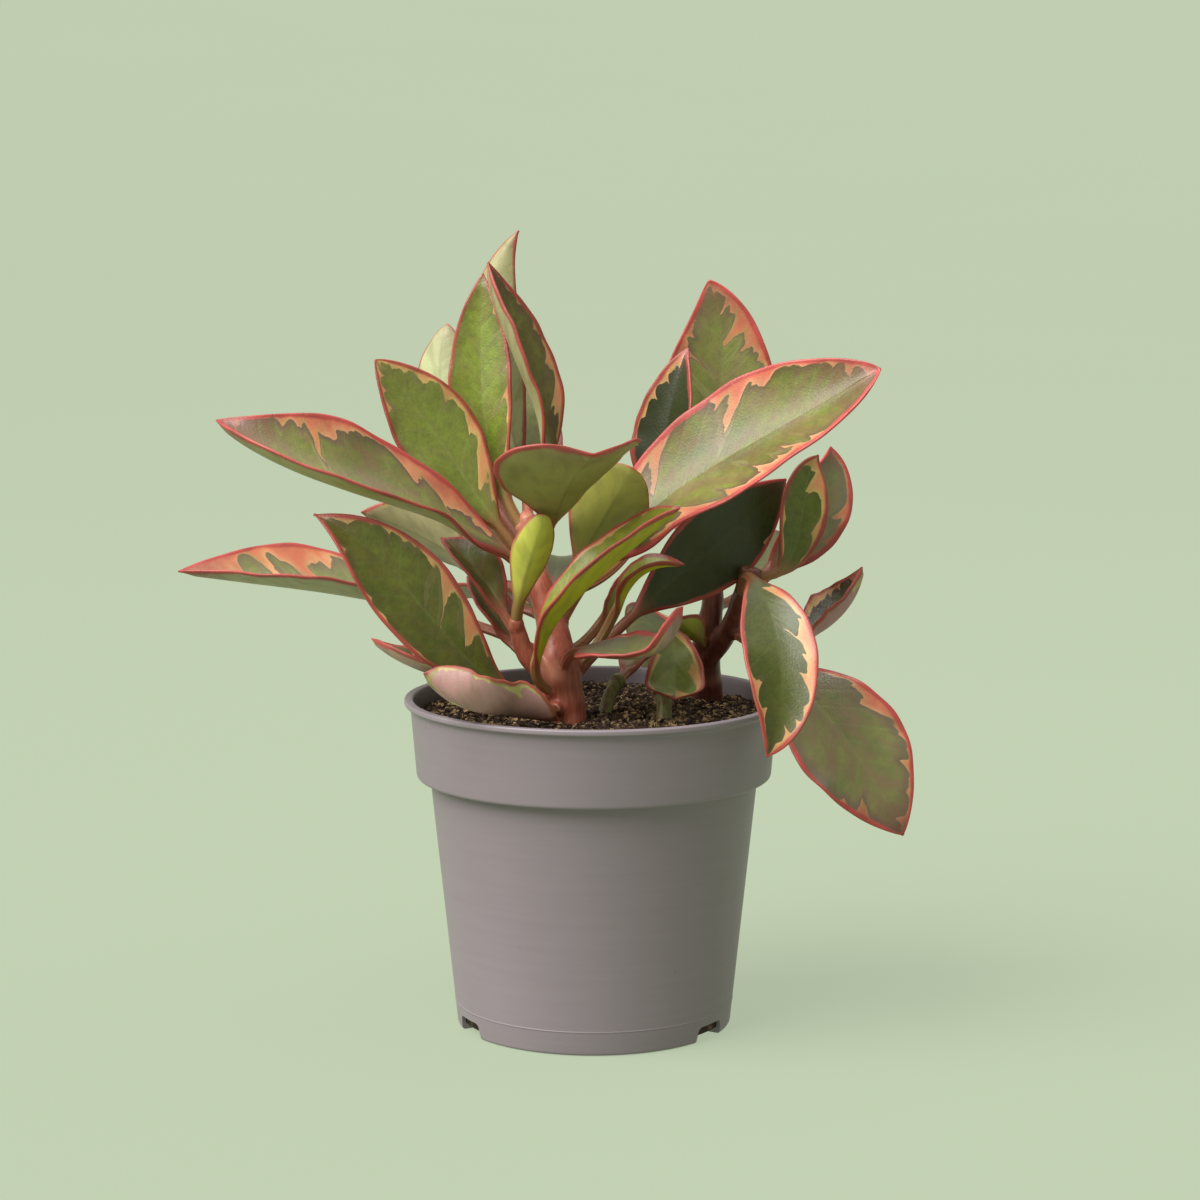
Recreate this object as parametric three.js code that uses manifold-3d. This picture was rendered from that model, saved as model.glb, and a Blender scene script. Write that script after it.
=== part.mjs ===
// A potted jellie peperomia: a tricolour Peperomia clusiifolia in a 12 cm grey nursery pot.
// Millimetres, +Z up. The origin is the pot's axis on the surface it stands on.
// -Y is the side shown first.
import * as THREE from "three";
import { mergeVertices } from "three/addons/utils/BufferGeometryUtils.js";
import Module from "manifold-3d";

const wasm = await Module();
wasm.setup();

// Driving dimensions of the pot
const POT_HEIGHT = 105;
const RIM_RADIUS = 60;
const WALL = 1.2;
const FLOOR = 1.6;
const LIP_HEIGHT = 1.6;
const LIP_REACH = 1.9;
const LIP_FILLET = 2.6;
const COLLAR_HEIGHT = 25;
const COLLAR_TAPER = 1.9;
const STEP_WIDTH = 4.2;
const FOOT_RADIUS = 43.6;
const FOOT_ROUNDING = 1.1;
const NOTCH_WIDTH = 13;
const NOTCH_HEIGHT = 5;
const NOTCH_DEPTH = 6;
const NOTCH_CORNER = 1.8;
const NOTCH_COUNT = 3;
const NOTCH_TURN_DEG = -3.5;
const POT_SIDES = 72;

// Driving dimensions of the soil
const CLEARANCE = 0.3;
const SOIL_DROP = 5.5;
const SOIL_MOUND = 1.4;
const SOIL_RELIEF = 0.45;
const SOIL_SPOKES = 36;
const SOIL_RINGS = 8;

// Driving dimensions that all leaves and stems share
const PETIOLE_HALF_WIDTH = 1.9;
const PETIOLE_HALF_THICKNESS = 1.6;
const BLADE_HALF_THICKNESS = 0.9;
const MARGIN_HALF_THICKNESS = 0.45;
const TIP_HALF_WIDTH = 0.6;
const LEAF_STEP = 9;
const RING_EASE = 1.5;
const STEM_SIDES = 12;
const STEM_STEPS = 14;

// Leaf colours, as the upper face shows from a step away
const DEEP_GREEN = 0x4f5c35;
const FRESH_GREEN = 0x7c9138;
const PALE_GREEN = 0x93a06c;
const STEM_RED = 0x8a4a3c;
const SHOOT_GREEN = 0x6f7442;

// Each stem is a list of points from its foot in the soil to its top, with the radius at each point.
// Branches grow out of the stem that they are listed with.
const STEMS = [
  {
    name: "stem_left",
    colour: STEM_RED,
    runs: [
      {
        points: [
          [-8, -18, 82], [-8, -18, 100], [-11, -17, 119], [-14, -12, 133], [-18, -8, 146], [-21, -3, 163],
        ],
        radii: [5.8, 6.2, 6.4, 4.6, 4, 2.4],
      },
      {
        points: [[-9, -18, 106], [-15, -20, 115], [-21, -21, 122], [-24, -22, 131]],
        radii: [4.2, 3.4, 3.1, 2.6],
      },
    ],
  },
  {
    name: "stem_right",
    colour: STEM_RED,
    runs: [
      {
        points: [[37, 20, 82], [37, 20, 100], [36, 17, 119], [38, 14, 133], [38, 18, 146]],
        radii: [5, 5, 4.6, 3.6, 3],
      },
      {
        points: [[36, 17, 114], [43, 9, 125], [47, 3, 137], [49, 0, 146]],
        radii: [4, 3.4, 3.2, 2.8],
      },
    ],
  },
  {
    name: "shoot_front",
    colour: SHOOT_GREEN,
    runs: [
      { points: [[22, -18, 86], [22, -17, 100], [22, -12, 114], [23, -7, 124]], radii: [2.8, 2.7, 2.2, 1.8] },
    ],
  },
  {
    name: "shoot_middle",
    colour: SHOOT_GREEN,
    runs: [{ points: [[3, -9, 86], [3, -8, 98], [5, -5, 106], [8, -2, 111]], radii: [2.6, 2.5, 2.2, 1.9] }],
  },
];

// What a leaf has unless its own entry says otherwise. The rib runs from the stem's middle to where the blade
// starts, to the blade's middle, to the tip. face is where the upper side looks, and angles are in degrees.
// fold is how steeply the blade rises from the rib, and curl is how much steeper it gets by the margin.
const LEAF_DEFAULTS = {
  widest: 0.52,
  baseTaper: 1.15,
  tipTaper: 0.85,
  fold: 12,
  curl: 18,
  lean: 0,
  twist: 0,
  wave: 0,
  waves: 1.5,
  phase: 0,
  colour: DEEP_GREEN,
};

const LEAVES = [
  // The left crown, seen from the front
  { name: "leaf_left_long", rib: [[-17, -9, 141], [-27, -14, 152], [-68, -30, 173], [-115, -26, 195]],
    face: [0.25, -0.6, 0.7], width: 43, widest: 0.6, tipTaper: 0.75, fold: 20, curl: 34, lean: -14, wave: 1 },
  { name: "leaf_left_upper", rib: [[-19, -7, 146], [-30, -6, 160], [-49, -3, 187], [-68, -5, 212]],
    face: [0.25, -0.9, 0.35], width: 30, tipTaper: 0.75, wave: 1 },
  { name: "leaf_centre_tall", rib: [[-21, -4, 157], [-27, -1, 167], [-35, 8, 202], [-35, 14, 238]],
    face: [-0.25, -0.95, 0.1], width: 23, fold: 8, curl: 16 },
  { name: "leaf_centre_dark", rib: [[-21, -5, 155], [-14, -2, 176], [-22, 1, 207], [-33, 2, 242]],
    face: [0.9, -0.36, 0.25], width: 28, fold: 20, curl: 32 },
  { name: "leaf_back_tip", rib: [[-21, -3, 161], [-23, 12, 178], [-32, 22, 214], [-24, 26, 251]],
    face: [0.3, 0.9, -0.1], width: 20, colour: PALE_GREEN },
  { name: "leaf_back_pale", rib: [[-20, -6, 152], [-32, 14, 166], [-47, 26, 193], [-47, 32, 221]],
    face: [0.2, 0.9, 0.2], width: 28, tipTaper: 0.6, colour: PALE_GREEN },
  { name: "leaf_young_front", rib: [[-24, -22, 130], [-23, -26, 139], [-19, -31, 154], [-15, -33, 167]],
    face: [-0.1, 0.9, 0.3], width: 14, widest: 0.6, tipTaper: 0.45, colour: FRESH_GREEN },
  { name: "leaf_fan", rib: [[-19, -7, 149], [-13, -20, 163], [-8, -42, 176], [0, -60, 188]],
    face: [-0.3, 0.5, 0.85], width: 53, widest: 0.72, baseTaper: 1.4, tipTaper: 0.35, fold: 8, curl: 22,
    colour: FRESH_GREEN },
  { name: "leaf_young_middle", rib: [[-14, -12, 133], [-5, -18, 150], [4, -20, 166], [12, -20, 180]],
    face: [-0.1, 0.95, 0.15], width: 27, widest: 0.6, tipTaper: 0.5, fold: 6, curl: 12, colour: FRESH_GREEN },
  { name: "leaf_folded_front", rib: [[-9, -18, 108], [-18, -30, 119], [-5, -38, 141], [26, -42, 170]],
    face: [-0.7, -0.12, 0.62], width: 27, fold: 36, curl: 8, colour: FRESH_GREEN },
  { name: "leaf_left_grey", rib: [[-16, -10, 137], [-36, 10, 144], [-56, 22, 154], [-75, 24, 161]],
    face: [-0.2, 0.8, 0.6], width: 26, colour: PALE_GREEN },
  { name: "leaf_left_inner", rib: [[-21, -21, 123], [-28, -18, 134], [-37, -12, 146], [-48, -4, 156]],
    face: [0.3, -0.5, 0.8], width: 20, fold: 25 },
  { name: "leaf_left_inner_low", rib: [[-17, -20, 118], [-25, -15, 124], [-32, -8, 132], [-40, 2, 143]],
    face: [0.4, -0.5, 0.7], width: 17, fold: 25 },

  // Low leaves on the left
  { name: "leaf_left_broad", rib: [[-9, -18, 107], [-27, -26, 112], [-55, -36, 142], [-85, -34, 167]],
    face: [0.1, -0.9, 0.35], width: 29, tipTaper: 1, fold: 8, curl: 20, wave: 1 },
  { name: "leaf_left_far", rib: [[-11, -16, 118], [-39, 2, 128], [-87, 8, 137], [-131, 0, 145]],
    face: [0.1, -0.25, 1], width: 34, fold: 34, curl: 12, wave: 1 },
  { name: "leaf_left_tucked", rib: [[-8, -18, 106], [-35, -16, 112], [-51, -20, 116], [-69, -16, 126]],
    face: [0.2, -0.1, 0.95], width: 20, fold: 24 },
  { name: "leaf_over_rim", rib: [[-9, -19, 104], [-19, -35, 106], [-36, -50, 109], [-51, -50, 121]],
    face: [0.15, 0, 1], width: 29, widest: 0.4, baseTaper: 0.15, tipTaper: 0.35, fold: 30, curl: 30,
    lean: -20, colour: PALE_GREEN },

  // The large leaves on the right that the left stem carries
  { name: "leaf_right_large", rib: [[-12, -14, 126], [3, -9, 150], [45, -15, 184], [87, -30, 211]],
    face: [-0.3, -0.85, 0.45], width: 46, widest: 0.52, baseTaper: 0.8, tipTaper: 0.7,
    fold: 12, curl: 18, lean: 14, twist: 12, wave: 1 },
  { name: "leaf_right_shaded", rib: [[-9, -15, 110], [13, -3, 132], [37, 4, 152], [61, 12, 173]],
    face: [0.3, -0.95, -0.1], width: 30, fold: 4, curl: 10 },
  { name: "leaf_top_right_narrow", rib: [[-15, -10, 138], [18, 14, 164], [24, 18, 190], [30, 20, 214]],
    face: [-0.5, -0.8, 0.2], width: 24, widest: 0.42 },

  // The right crown
  { name: "leaf_top_right", rib: [[38, 17, 143], [36, 24, 155], [40, 34, 193], [37, 34, 235]],
    face: [-0.1, -0.98, 0.1], width: 41, widest: 0.47, tipTaper: 0.75, fold: 6, curl: 12 },
  { name: "leaf_right_back", rib: [[48, 1, 141], [56, 16, 143], [71, 24, 162], [76, 26, 182]],
    face: [0.5, -0.8, 0.1], width: 25 },
  { name: "leaf_right_striped", rib: [[49, 0, 144], [58, -1, 145], [65, 4, 161], [71, 8, 181]],
    face: [0.3, -0.9, 0.2], width: 18 },
  { name: "leaf_right_hanging", rib: [[47, 3, 136], [49, -18, 145], [56, -44, 125], [52, -54, 96]],
    face: [0.15, -0.95, 0.3], width: 26, baseTaper: 1.3, wave: 0.8 },
  { name: "leaf_right_low", rib: [[43, 9, 125], [57, -7, 117], [76, -23, 98], [96, -27, 66]],
    face: [0.15, -0.95, 0.25], width: 37, fold: 4, curl: 12, wave: 1 },
  { name: "leaf_right_pointed", rib: [[44, 8, 128], [62, 14, 120], [74, 16, 124], [86, 18, 144]],
    face: [-0.6, -0.2, 0.75], width: 27, fold: 30 },
  { name: "leaf_bud_right", rib: [[36, 17, 116], [34, 10, 122], [30, 4, 126], [26, 0, 130]],
    face: [-0.3, 0.6, 0.7], width: 12, colour: FRESH_GREEN },

  // Small leaves low in the middle
  { name: "leaf_front_cupped", rib: [[-9, -19, 112], [-4, -29, 124], [12, -37, 124], [27, -36, 139]],
    face: [-0.25, -0.1, 1], width: 25, widest: 0.5, baseTaper: 0.5, tipTaper: 0.45, fold: 10, curl: 20 },
  { name: "leaf_front_small", rib: [[23, -8, 121], [24, -12, 128], [25, -20, 120], [25, -28, 109]],
    face: [0, -0.8, 0.6], width: 21, widest: 0.75, tipTaper: 0.45 },
  { name: "leaf_hooked", rib: [[-10, -18, 116], [6, -16, 133], [14, -20, 146], [28, -22, 150]],
    face: [-0.5, -0.2, 0.8], width: 13, fold: 30, colour: FRESH_GREEN },
  { name: "leaf_slim_middle", rib: [[-11, -16, 121], [2, -4, 129], [8, -1, 138], [14, 2, 147]],
    face: [-0.7, 0.3, 0.5], width: 12, colour: FRESH_GREEN },
  { name: "leaf_soil_middle", rib: [[7, -3, 110], [10, 2, 112], [14, 8, 115], [20, 14, 118]],
    face: [-0.4, -0.4, 0.8], width: 14 },

  // The back of the plant
  { name: "leaf_rear_left", rib: [[-17, -9, 144], [-26, 12, 149], [-46, 44, 168], [-60, 78, 176]],
    face: [0.1, -0.3, 0.95], width: 30 },
  { name: "leaf_rear_upper", rib: [[-21, -4, 158], [-16, 14, 164], [-26, 40, 190], [-34, 62, 213]],
    face: [0.1, -0.6, 0.75], width: 28 },
  { name: "leaf_rear_centre", rib: [[-16, -10, 139], [-13, 12, 139], [-12, 42, 142], [-12, 76, 134]],
    face: [0.1, -0.1, 0.95], width: 30 },
  { name: "leaf_rear_right", rib: [[38, 16, 139], [36, 34, 143], [40, 60, 152], [44, 92, 150]],
    face: [-0.1, -0.1, 0.95], width: 32 },
  { name: "leaf_rear_far_right", rib: [[38, 15, 132], [48, 30, 134], [58, 46, 142], [72, 66, 146]],
    face: [0, -0.2, 0.95], width: 26 },
  { name: "leaf_rear_drooping", rib: [[37, 18, 118], [31, 34, 121], [24, 58, 120], [18, 80, 98]],
    face: [0.1, 0.3, 0.9], width: 28 },
  { name: "leaf_rear_low_left", rib: [[-13, -13, 128], [-18, 8, 130], [-38, 34, 132], [-56, 58, 122]],
    face: [0, 0.1, 0.95], width: 28 },
];

// Turns a closed geometry into a manifold solid.
function solidOf(geometry) {
  const bare = geometry.clone();
  bare.deleteAttribute("normal");
  bare.deleteAttribute("uv");
  const merged = mergeVertices(bare, 1e-4);
  const mesh = new wasm.Mesh({
    numProp: 3,
    vertProperties: merged.attributes.position.array,
    triVerts: new Uint32Array(merged.index.array),
  });
  return new wasm.Manifold(mesh);
}

// Turns a manifold solid back into a geometry.
function geometryOf(solid) {
  const mesh = solid.getMesh();
  const positions = new Float32Array(mesh.numVert * 3);
  for (let i = 0; i < mesh.numVert; i++) {
    positions.set(mesh.vertProperties.subarray(i * mesh.numProp, i * mesh.numProp + 3), i * 3);
  }
  const geometry = new THREE.BufferGeometry();
  geometry.setAttribute("position", new THREE.BufferAttribute(positions, 3));
  geometry.setIndex(new THREE.BufferAttribute(mesh.triVerts, 1));
  geometry.computeVertexNormals();
  return geometry;
}

// A cut can leave a loose scrap beyond it, so only the largest body is kept.
function largestBody(solid) {
  const bodies = solid.decompose();
  return bodies.reduce((best, body) => (body.volume() > best.volume() ? body : best));
}

function namedMesh(name, geometry, colour, roughness) {
  const material = new THREE.MeshStandardMaterial({ color: colour, roughness, metalness: 0 });
  const mesh = new THREE.Mesh(geometry, material);
  mesh.name = name;
  return mesh;
}

// Joins rings of points into one closed skin, with a fan of triangles at each end. Every ring has the same
// number of points and runs anticlockwise when seen from the last ring.
function skinOf(rings) {
  const sides = rings[0].length;
  const positions = [];
  const index = [];
  for (const ring of rings) {
    for (const point of ring) {
      positions.push(point.x, point.y, point.z);
    }
  }
  for (let i = 0; i + 1 < rings.length; i++) {
    for (let j = 0; j < sides; j++) {
      const a = i * sides + j;
      const b = i * sides + ((j + 1) % sides);
      index.push(a, b, b + sides, a, b + sides, a + sides);
    }
  }
  for (const [ring, first] of [[rings[0], 0], [rings[rings.length - 1], (rings.length - 1) * sides]]) {
    const middle = new THREE.Vector3();
    ring.forEach((point) => middle.addScaledVector(point, 1 / sides));
    positions.push(middle.x, middle.y, middle.z);
    const centre = positions.length / 3 - 1;
    for (let j = 0; j < sides; j++) {
      const here = first + j;
      const next = first + ((j + 1) % sides);
      index.push(centre, ...(first === 0 ? [next, here] : [here, next]));
    }
  }
  const geometry = new THREE.BufferGeometry();
  geometry.setAttribute("position", new THREE.Float32BufferAttribute(positions, 3));
  geometry.setIndex(index);
  return geometry;
}

// The pot's wall, collar, lip and floor, turned round the axis
function potProfile(gap) {
  const collarBottom = POT_HEIGHT - COLLAR_HEIGHT;
  const collarTopRadius = RIM_RADIUS - LIP_REACH;
  const collarBottomRadius = collarTopRadius - COLLAR_TAPER;
  const bodyTopRadius = collarBottomRadius - STEP_WIDTH;
  return {
    collarBottom,
    collarTopRadius,
    collarBottomRadius,
    bodyTopRadius,
    innerCollarTop: collarTopRadius - WALL - gap,
    innerCollarBottom: collarBottomRadius - WALL - gap,
    innerBodyTop: bodyTopRadius - WALL - gap,
    innerFoot: FOOT_RADIUS - WALL - gap,
    innerStep: collarBottom + WALL + gap,
    innerFloor: FLOOR + gap,
  };
}

function potBody() {
  const p = potProfile(0);
  const outline = [
    [0, 0],
    [FOOT_RADIUS - FOOT_ROUNDING, 0],
    [FOOT_RADIUS, FOOT_ROUNDING],
    [p.bodyTopRadius, p.collarBottom],
    [p.collarBottomRadius - 0.5, p.collarBottom],
    [p.collarBottomRadius, p.collarBottom + 0.5],
    [p.collarTopRadius, POT_HEIGHT - LIP_HEIGHT - LIP_FILLET],
    [p.collarTopRadius + 0.6, POT_HEIGHT - LIP_HEIGHT - 0.6],
    [RIM_RADIUS, POT_HEIGHT - LIP_HEIGHT],
    [RIM_RADIUS, POT_HEIGHT - 0.4],
    [RIM_RADIUS - 0.4, POT_HEIGHT],
    [p.innerCollarTop + 0.8, POT_HEIGHT],
    [p.innerCollarTop, POT_HEIGHT - LIP_HEIGHT],
    [p.innerCollarBottom, p.innerStep],
    [p.innerBodyTop, p.collarBottom - WALL],
    [p.innerFoot, p.innerFloor],
    [0, p.innerFloor],
  ];
  const turned = new THREE.LatheGeometry(outline.map(([r, z]) => new THREE.Vector2(r, z)), POT_SIDES);
  return turned.rotateX(Math.PI / 2);
}

// One drainage notch: an arched slot through the foot of the wall
function notchCutter(turn) {
  const half = NOTCH_WIDTH / 2;
  const shape = new THREE.Shape();
  shape.moveTo(-half - 1, -2);
  shape.lineTo(half + 1, -2);
  shape.lineTo(half, NOTCH_HEIGHT - NOTCH_CORNER);
  shape.quadraticCurveTo(half, NOTCH_HEIGHT, half - NOTCH_CORNER, NOTCH_HEIGHT);
  shape.lineTo(-half + NOTCH_CORNER, NOTCH_HEIGHT);
  shape.quadraticCurveTo(-half, NOTCH_HEIGHT, -half, NOTCH_HEIGHT - NOTCH_CORNER);
  const options = { depth: 2 * NOTCH_DEPTH, bevelEnabled: false, curveSegments: 3 };
  const cutter = new THREE.ExtrudeGeometry(shape, options);
  cutter.rotateX(Math.PI / 2);
  cutter.translate(0, -(FOOT_RADIUS - NOTCH_DEPTH), 0);
  return cutter.rotateZ(turn);
}

function makePot() {
  let pot = solidOf(potBody());
  for (let i = 0; i < NOTCH_COUNT; i++) {
    const turn = THREE.MathUtils.degToRad(NOTCH_TURN_DEG + 60 + (i * 360) / NOTCH_COUNT);
    pot = pot.subtract(solidOf(notchCutter(turn)));
  }
  return namedMesh("pot", geometryOf(pot), 0x827c78, 0.55);
}

// A stem run: round sections along a smooth line, grown by gap where it serves as a cutter
function runSolid(run, gap) {
  const path = new THREE.CatmullRomCurve3(run.points.map((p) => new THREE.Vector3(...p)));
  const last = run.points.length - 1;
  const rings = [];
  for (let i = 0; i <= STEM_STEPS; i++) {
    const t = i / STEM_STEPS;
    const centre = path.getPoint(t);
    const tangent = path.getTangent(t);
    const side = new THREE.Vector3(1, 0, 0).projectOnPlane(tangent).normalize();
    const other = tangent.clone().cross(side);
    const whole = Math.min(Math.floor(t * last), last - 1);
    const radius = THREE.MathUtils.lerp(run.radii[whole], run.radii[whole + 1], t * last - whole) + gap;
    const end = (i === 0 ? -gap : 0) + (i === STEM_STEPS ? gap : 0);
    centre.addScaledVector(tangent, end);
    rings.push(
      Array.from({ length: STEM_SIDES }, (_, j) => {
        const angle = (2 * Math.PI * j) / STEM_SIDES;
        return centre.clone()
          .addScaledVector(side, radius * Math.cos(angle))
          .addScaledVector(other, radius * Math.sin(angle));
      }),
    );
  }
  return solidOf(skinOf(rings));
}

function stemSolid(stem, gap) {
  return stem.runs.map((run) => runSolid(run, gap)).reduce((whole, run) => whole.add(run));
}

// The soil fills the pot up to a slightly mounded, uneven top, with a hole for each stem.
function soilTop(x, y) {
  const fromAxis = Math.hypot(x, y) / RIM_RADIUS;
  const uneven = Math.sin(x * 0.31 + 1.3) * Math.cos(y * 0.27) + Math.sin(x * 0.13 - y * 0.19);
  return POT_HEIGHT - SOIL_DROP + SOIL_MOUND * (1 - fromAxis * fromAxis) + SOIL_RELIEF * uneven;
}

function soilRing(radius, height) {
  return Array.from({ length: SOIL_SPOKES }, (_, j) => {
    const angle = (2 * Math.PI * j) / SOIL_SPOKES;
    const x = radius * Math.cos(angle);
    const y = radius * Math.sin(angle);
    return new THREE.Vector3(x, y, height === undefined ? soilTop(x, y) : height);
  });
}

function makeSoil() {
  const p = potProfile(CLEARANCE);
  const edgeRise = (POT_HEIGHT - SOIL_DROP - p.innerStep) / (POT_HEIGHT - LIP_HEIGHT - p.innerStep);
  const edge = THREE.MathUtils.lerp(p.innerCollarBottom, p.innerCollarTop, edgeRise) - 2 * CLEARANCE;
  const rings = [
    soilRing(p.innerFoot, p.innerFloor),
    soilRing(p.innerBodyTop, p.collarBottom - WALL),
    soilRing(p.innerCollarBottom, p.innerStep + CLEARANCE),
  ];
  for (let i = SOIL_RINGS; i > 0; i--) {
    rings.push(soilRing((edge * i) / SOIL_RINGS));
  }
  let soil = solidOf(skinOf(rings));
  for (const stem of STEMS) {
    soil = soil.subtract(stemSolid(stem, CLEARANCE));
  }
  return namedMesh("soil", geometryOf(largestBody(soil)), 0x2e241d, 0.95);
}

// The smooth curve through a few points, spaced by the distances between them, at a share of its length
function ribPoint(rib, share) {
  const knots = [0];
  for (let i = 1; i < rib.length; i++) {
    knots.push(knots[i - 1] + rib[i].distanceTo(rib[i - 1]));
  }
  const at = share * knots[knots.length - 1];
  const point = new THREE.Vector3();
  rib.forEach((control, i) => {
    let weight = 1;
    knots.forEach((knot, j) => {
      if (j !== i) {
        weight *= (at - knot) / (knots[i] - knot);
      }
    });
    point.addScaledVector(control, weight);
  });
  return point;
}

function smoothStep(x) {
  const t = Math.min(Math.max(x, 0), 1);
  return t * t * (3 - 2 * t);
}

// Half the blade's width as a share of its greatest, from its base to its tip
function outlineShare(leaf, blade) {
  if (blade < leaf.widest) {
    return Math.sin((Math.PI / 2) * (blade / leaf.widest)) ** leaf.baseTaper;
  }
  return Math.max(Math.cos((Math.PI / 2) * ((blade - leaf.widest) / (1 - leaf.widest))), 0) ** leaf.tipTaper;
}

// One cross-section of a leaf: a closed ring over the upper face and back under it
function leafRing(leaf, rib, share, petioleShare) {
  const step = 0.01;
  const centre = ribPoint(rib, share);
  const tangent = ribPoint(rib, share + step).sub(ribPoint(rib, share - step)).normalize();
  const blade = Math.max((share - petioleShare) / (1 - petioleShare), 0);
  const open = smoothStep(blade / 0.3);
  const normal = leaf.side.clone().cross(tangent).normalize();
  const turn = THREE.MathUtils.degToRad(leaf.twist) * (blade - 0.5) * open;
  normal.applyAxisAngle(tangent, turn);
  const side = tangent.clone().cross(normal);
  const outline = blade > 0 ? outlineShare(leaf, blade) : 0;
  const stalk = PETIOLE_HALF_WIDTH * (1 - blade) ** 4;
  const half = Math.max((leaf.width / 2) * outline + stalk, TIP_HALF_WIDTH);
  const thick = THREE.MathUtils.lerp(PETIOLE_HALF_THICKNESS, BLADE_HALF_THICKNESS, open);
  const upper = [];
  const lower = [];
  for (const across of [-1, -0.5, 0, 0.5, 1]) {
    const reach = Math.abs(across);
    const hand = Math.sign(across);
    const fold = THREE.MathUtils.degToRad(leaf.fold + hand * leaf.lean) * open;
    const curl = THREE.MathUtils.degToRad(leaf.curl) * open + 1e-6;
    const slope = fold + curl * reach;
    const out = (half * (Math.sin(slope) - Math.sin(fold))) / curl;
    const ripple = Math.sin(2 * Math.PI * leaf.waves * blade + leaf.phase + hand);
    const waved = leaf.wave * reach * reach * outline * ripple;
    const rise = (half * (Math.cos(fold) - Math.cos(slope))) / curl + waved;
    const point = centre.clone().addScaledVector(side, hand * out).addScaledVector(normal, rise);
    const facing = normal.clone().multiplyScalar(Math.cos(slope));
    facing.addScaledVector(side, -hand * Math.sin(slope));
    const edge = THREE.MathUtils.lerp(MARGIN_HALF_THICKNESS, thick, 1 - reach * reach);
    upper.push(point.clone().addScaledVector(facing, edge));
    lower.push(point.clone().addScaledVector(facing, -edge));
  }
  return [...upper, ...lower.reverse()];
}

// The skin of a leaf. Upper and lower face are split into triangles along the same lines.
function leafGeometry(leaf) {
  const rib = leaf.rib.map((p) => new THREE.Vector3(...p));
  const along = ribPoint(rib, 0.62).sub(ribPoint(rib, 0.5));
  const sided = { ...leaf, side: along.cross(new THREE.Vector3(...leaf.face)).normalize() };
  const petiole = rib[1].distanceTo(rib[0]);
  const blade = rib[2].distanceTo(rib[1]) + rib[3].distanceTo(rib[2]);
  const petioleShare = petiole / (petiole + blade);
  const petioleSteps = Math.max(Math.round(petiole / 12), 1);
  const bladeSteps = Math.min(Math.max(Math.round(blade / LEAF_STEP), 5), 10);
  const rings = [];
  for (let i = 0; i < petioleSteps; i++) {
    rings.push(leafRing(sided, rib, (petioleShare * i) / petioleSteps, petioleShare));
  }
  for (let i = 0; i <= bladeSteps; i++) {
    // Rings lie closer together towards the tip, so that a blunt tip keeps its shape.
    const blade = 1 - (1 - i / bladeSteps) ** RING_EASE;
    rings.push(leafRing(sided, rib, petioleShare + (1 - petioleShare) * blade, petioleShare));
  }
  return bladeSkin(rings);
}

function bladeSkin(rings) {
  const count = rings[0].length;
  const half = count / 2;
  const positions = [];
  const index = [];
  rings.forEach((ring) => ring.forEach((point) => positions.push(point.x, point.y, point.z)));
  const quad = (a, b, c, d, flip) => index.push(...(flip ? [a, b, d, b, c, d] : [a, b, c, a, c, d]));
  for (let i = 0; i + 1 < rings.length; i++) {
    const here = i * count;
    const next = here + count;
    for (let j = 0; j + 1 < half; j++) {
      const flip = j >= (half - 1) / 2;
      const under = count - 2 - j;
      quad(here + j, here + j + 1, next + j + 1, next + j, flip);
      quad(here + under, here + under + 1, next + under + 1, next + under, !flip);
    }
    quad(here + half - 1, here + half, next + half, next + half - 1, false);
    quad(here + count - 1, here, next, next + count - 1, false);
  }
  for (const [first, outward] of [[0, false], [(rings.length - 1) * count, true]]) {
    for (let j = 0; j + 1 < half; j++) {
      const corners = [first + j, first + j + 1, first + count - 2 - j, first + count - 1 - j];
      quad(...(outward ? corners : corners.reverse()), false);
    }
  }
  const geometry = new THREE.BufferGeometry();
  geometry.setAttribute("position", new THREE.Float32BufferAttribute(positions, 3));
  geometry.setIndex(index);
  return geometry;
}

const group = new THREE.Group();
group.add(makePot(), makeSoil());

const stemRoom = STEMS.map((stem) => stemSolid(stem, CLEARANCE)).reduce((all, stem) => all.add(stem));
for (const stem of STEMS) {
  group.add(namedMesh(stem.name, geometryOf(stemSolid(stem, 0)), stem.colour, 0.6));
}
for (const entry of LEAVES) {
  const leaf = { ...LEAF_DEFAULTS, ...entry };
  const trimmed = largestBody(solidOf(leafGeometry(leaf)).subtract(stemRoom));
  group.add(namedMesh(leaf.name, geometryOf(trimmed), leaf.colour, 0.45));
}

export default group;
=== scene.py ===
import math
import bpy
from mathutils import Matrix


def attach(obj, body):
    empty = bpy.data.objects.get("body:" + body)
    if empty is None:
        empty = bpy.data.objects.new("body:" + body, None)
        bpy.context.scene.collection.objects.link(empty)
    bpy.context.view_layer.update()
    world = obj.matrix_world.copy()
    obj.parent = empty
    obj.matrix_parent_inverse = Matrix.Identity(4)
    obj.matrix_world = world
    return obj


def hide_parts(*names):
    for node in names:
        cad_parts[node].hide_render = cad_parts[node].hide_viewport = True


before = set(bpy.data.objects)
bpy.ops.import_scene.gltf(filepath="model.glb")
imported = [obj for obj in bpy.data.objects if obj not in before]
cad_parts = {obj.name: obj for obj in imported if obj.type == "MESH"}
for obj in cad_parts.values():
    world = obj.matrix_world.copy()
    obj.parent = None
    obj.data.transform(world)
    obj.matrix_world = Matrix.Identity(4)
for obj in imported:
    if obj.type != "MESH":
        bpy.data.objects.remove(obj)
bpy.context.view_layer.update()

# A potted jellie peperomia in a grey nursery pot. Sizes are in millimetres, as in the part's source, and each
# mesh is scaled to metres when it is made.
from types import SimpleNamespace

import bpy
import numpy as np

MM = 0.001

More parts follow.
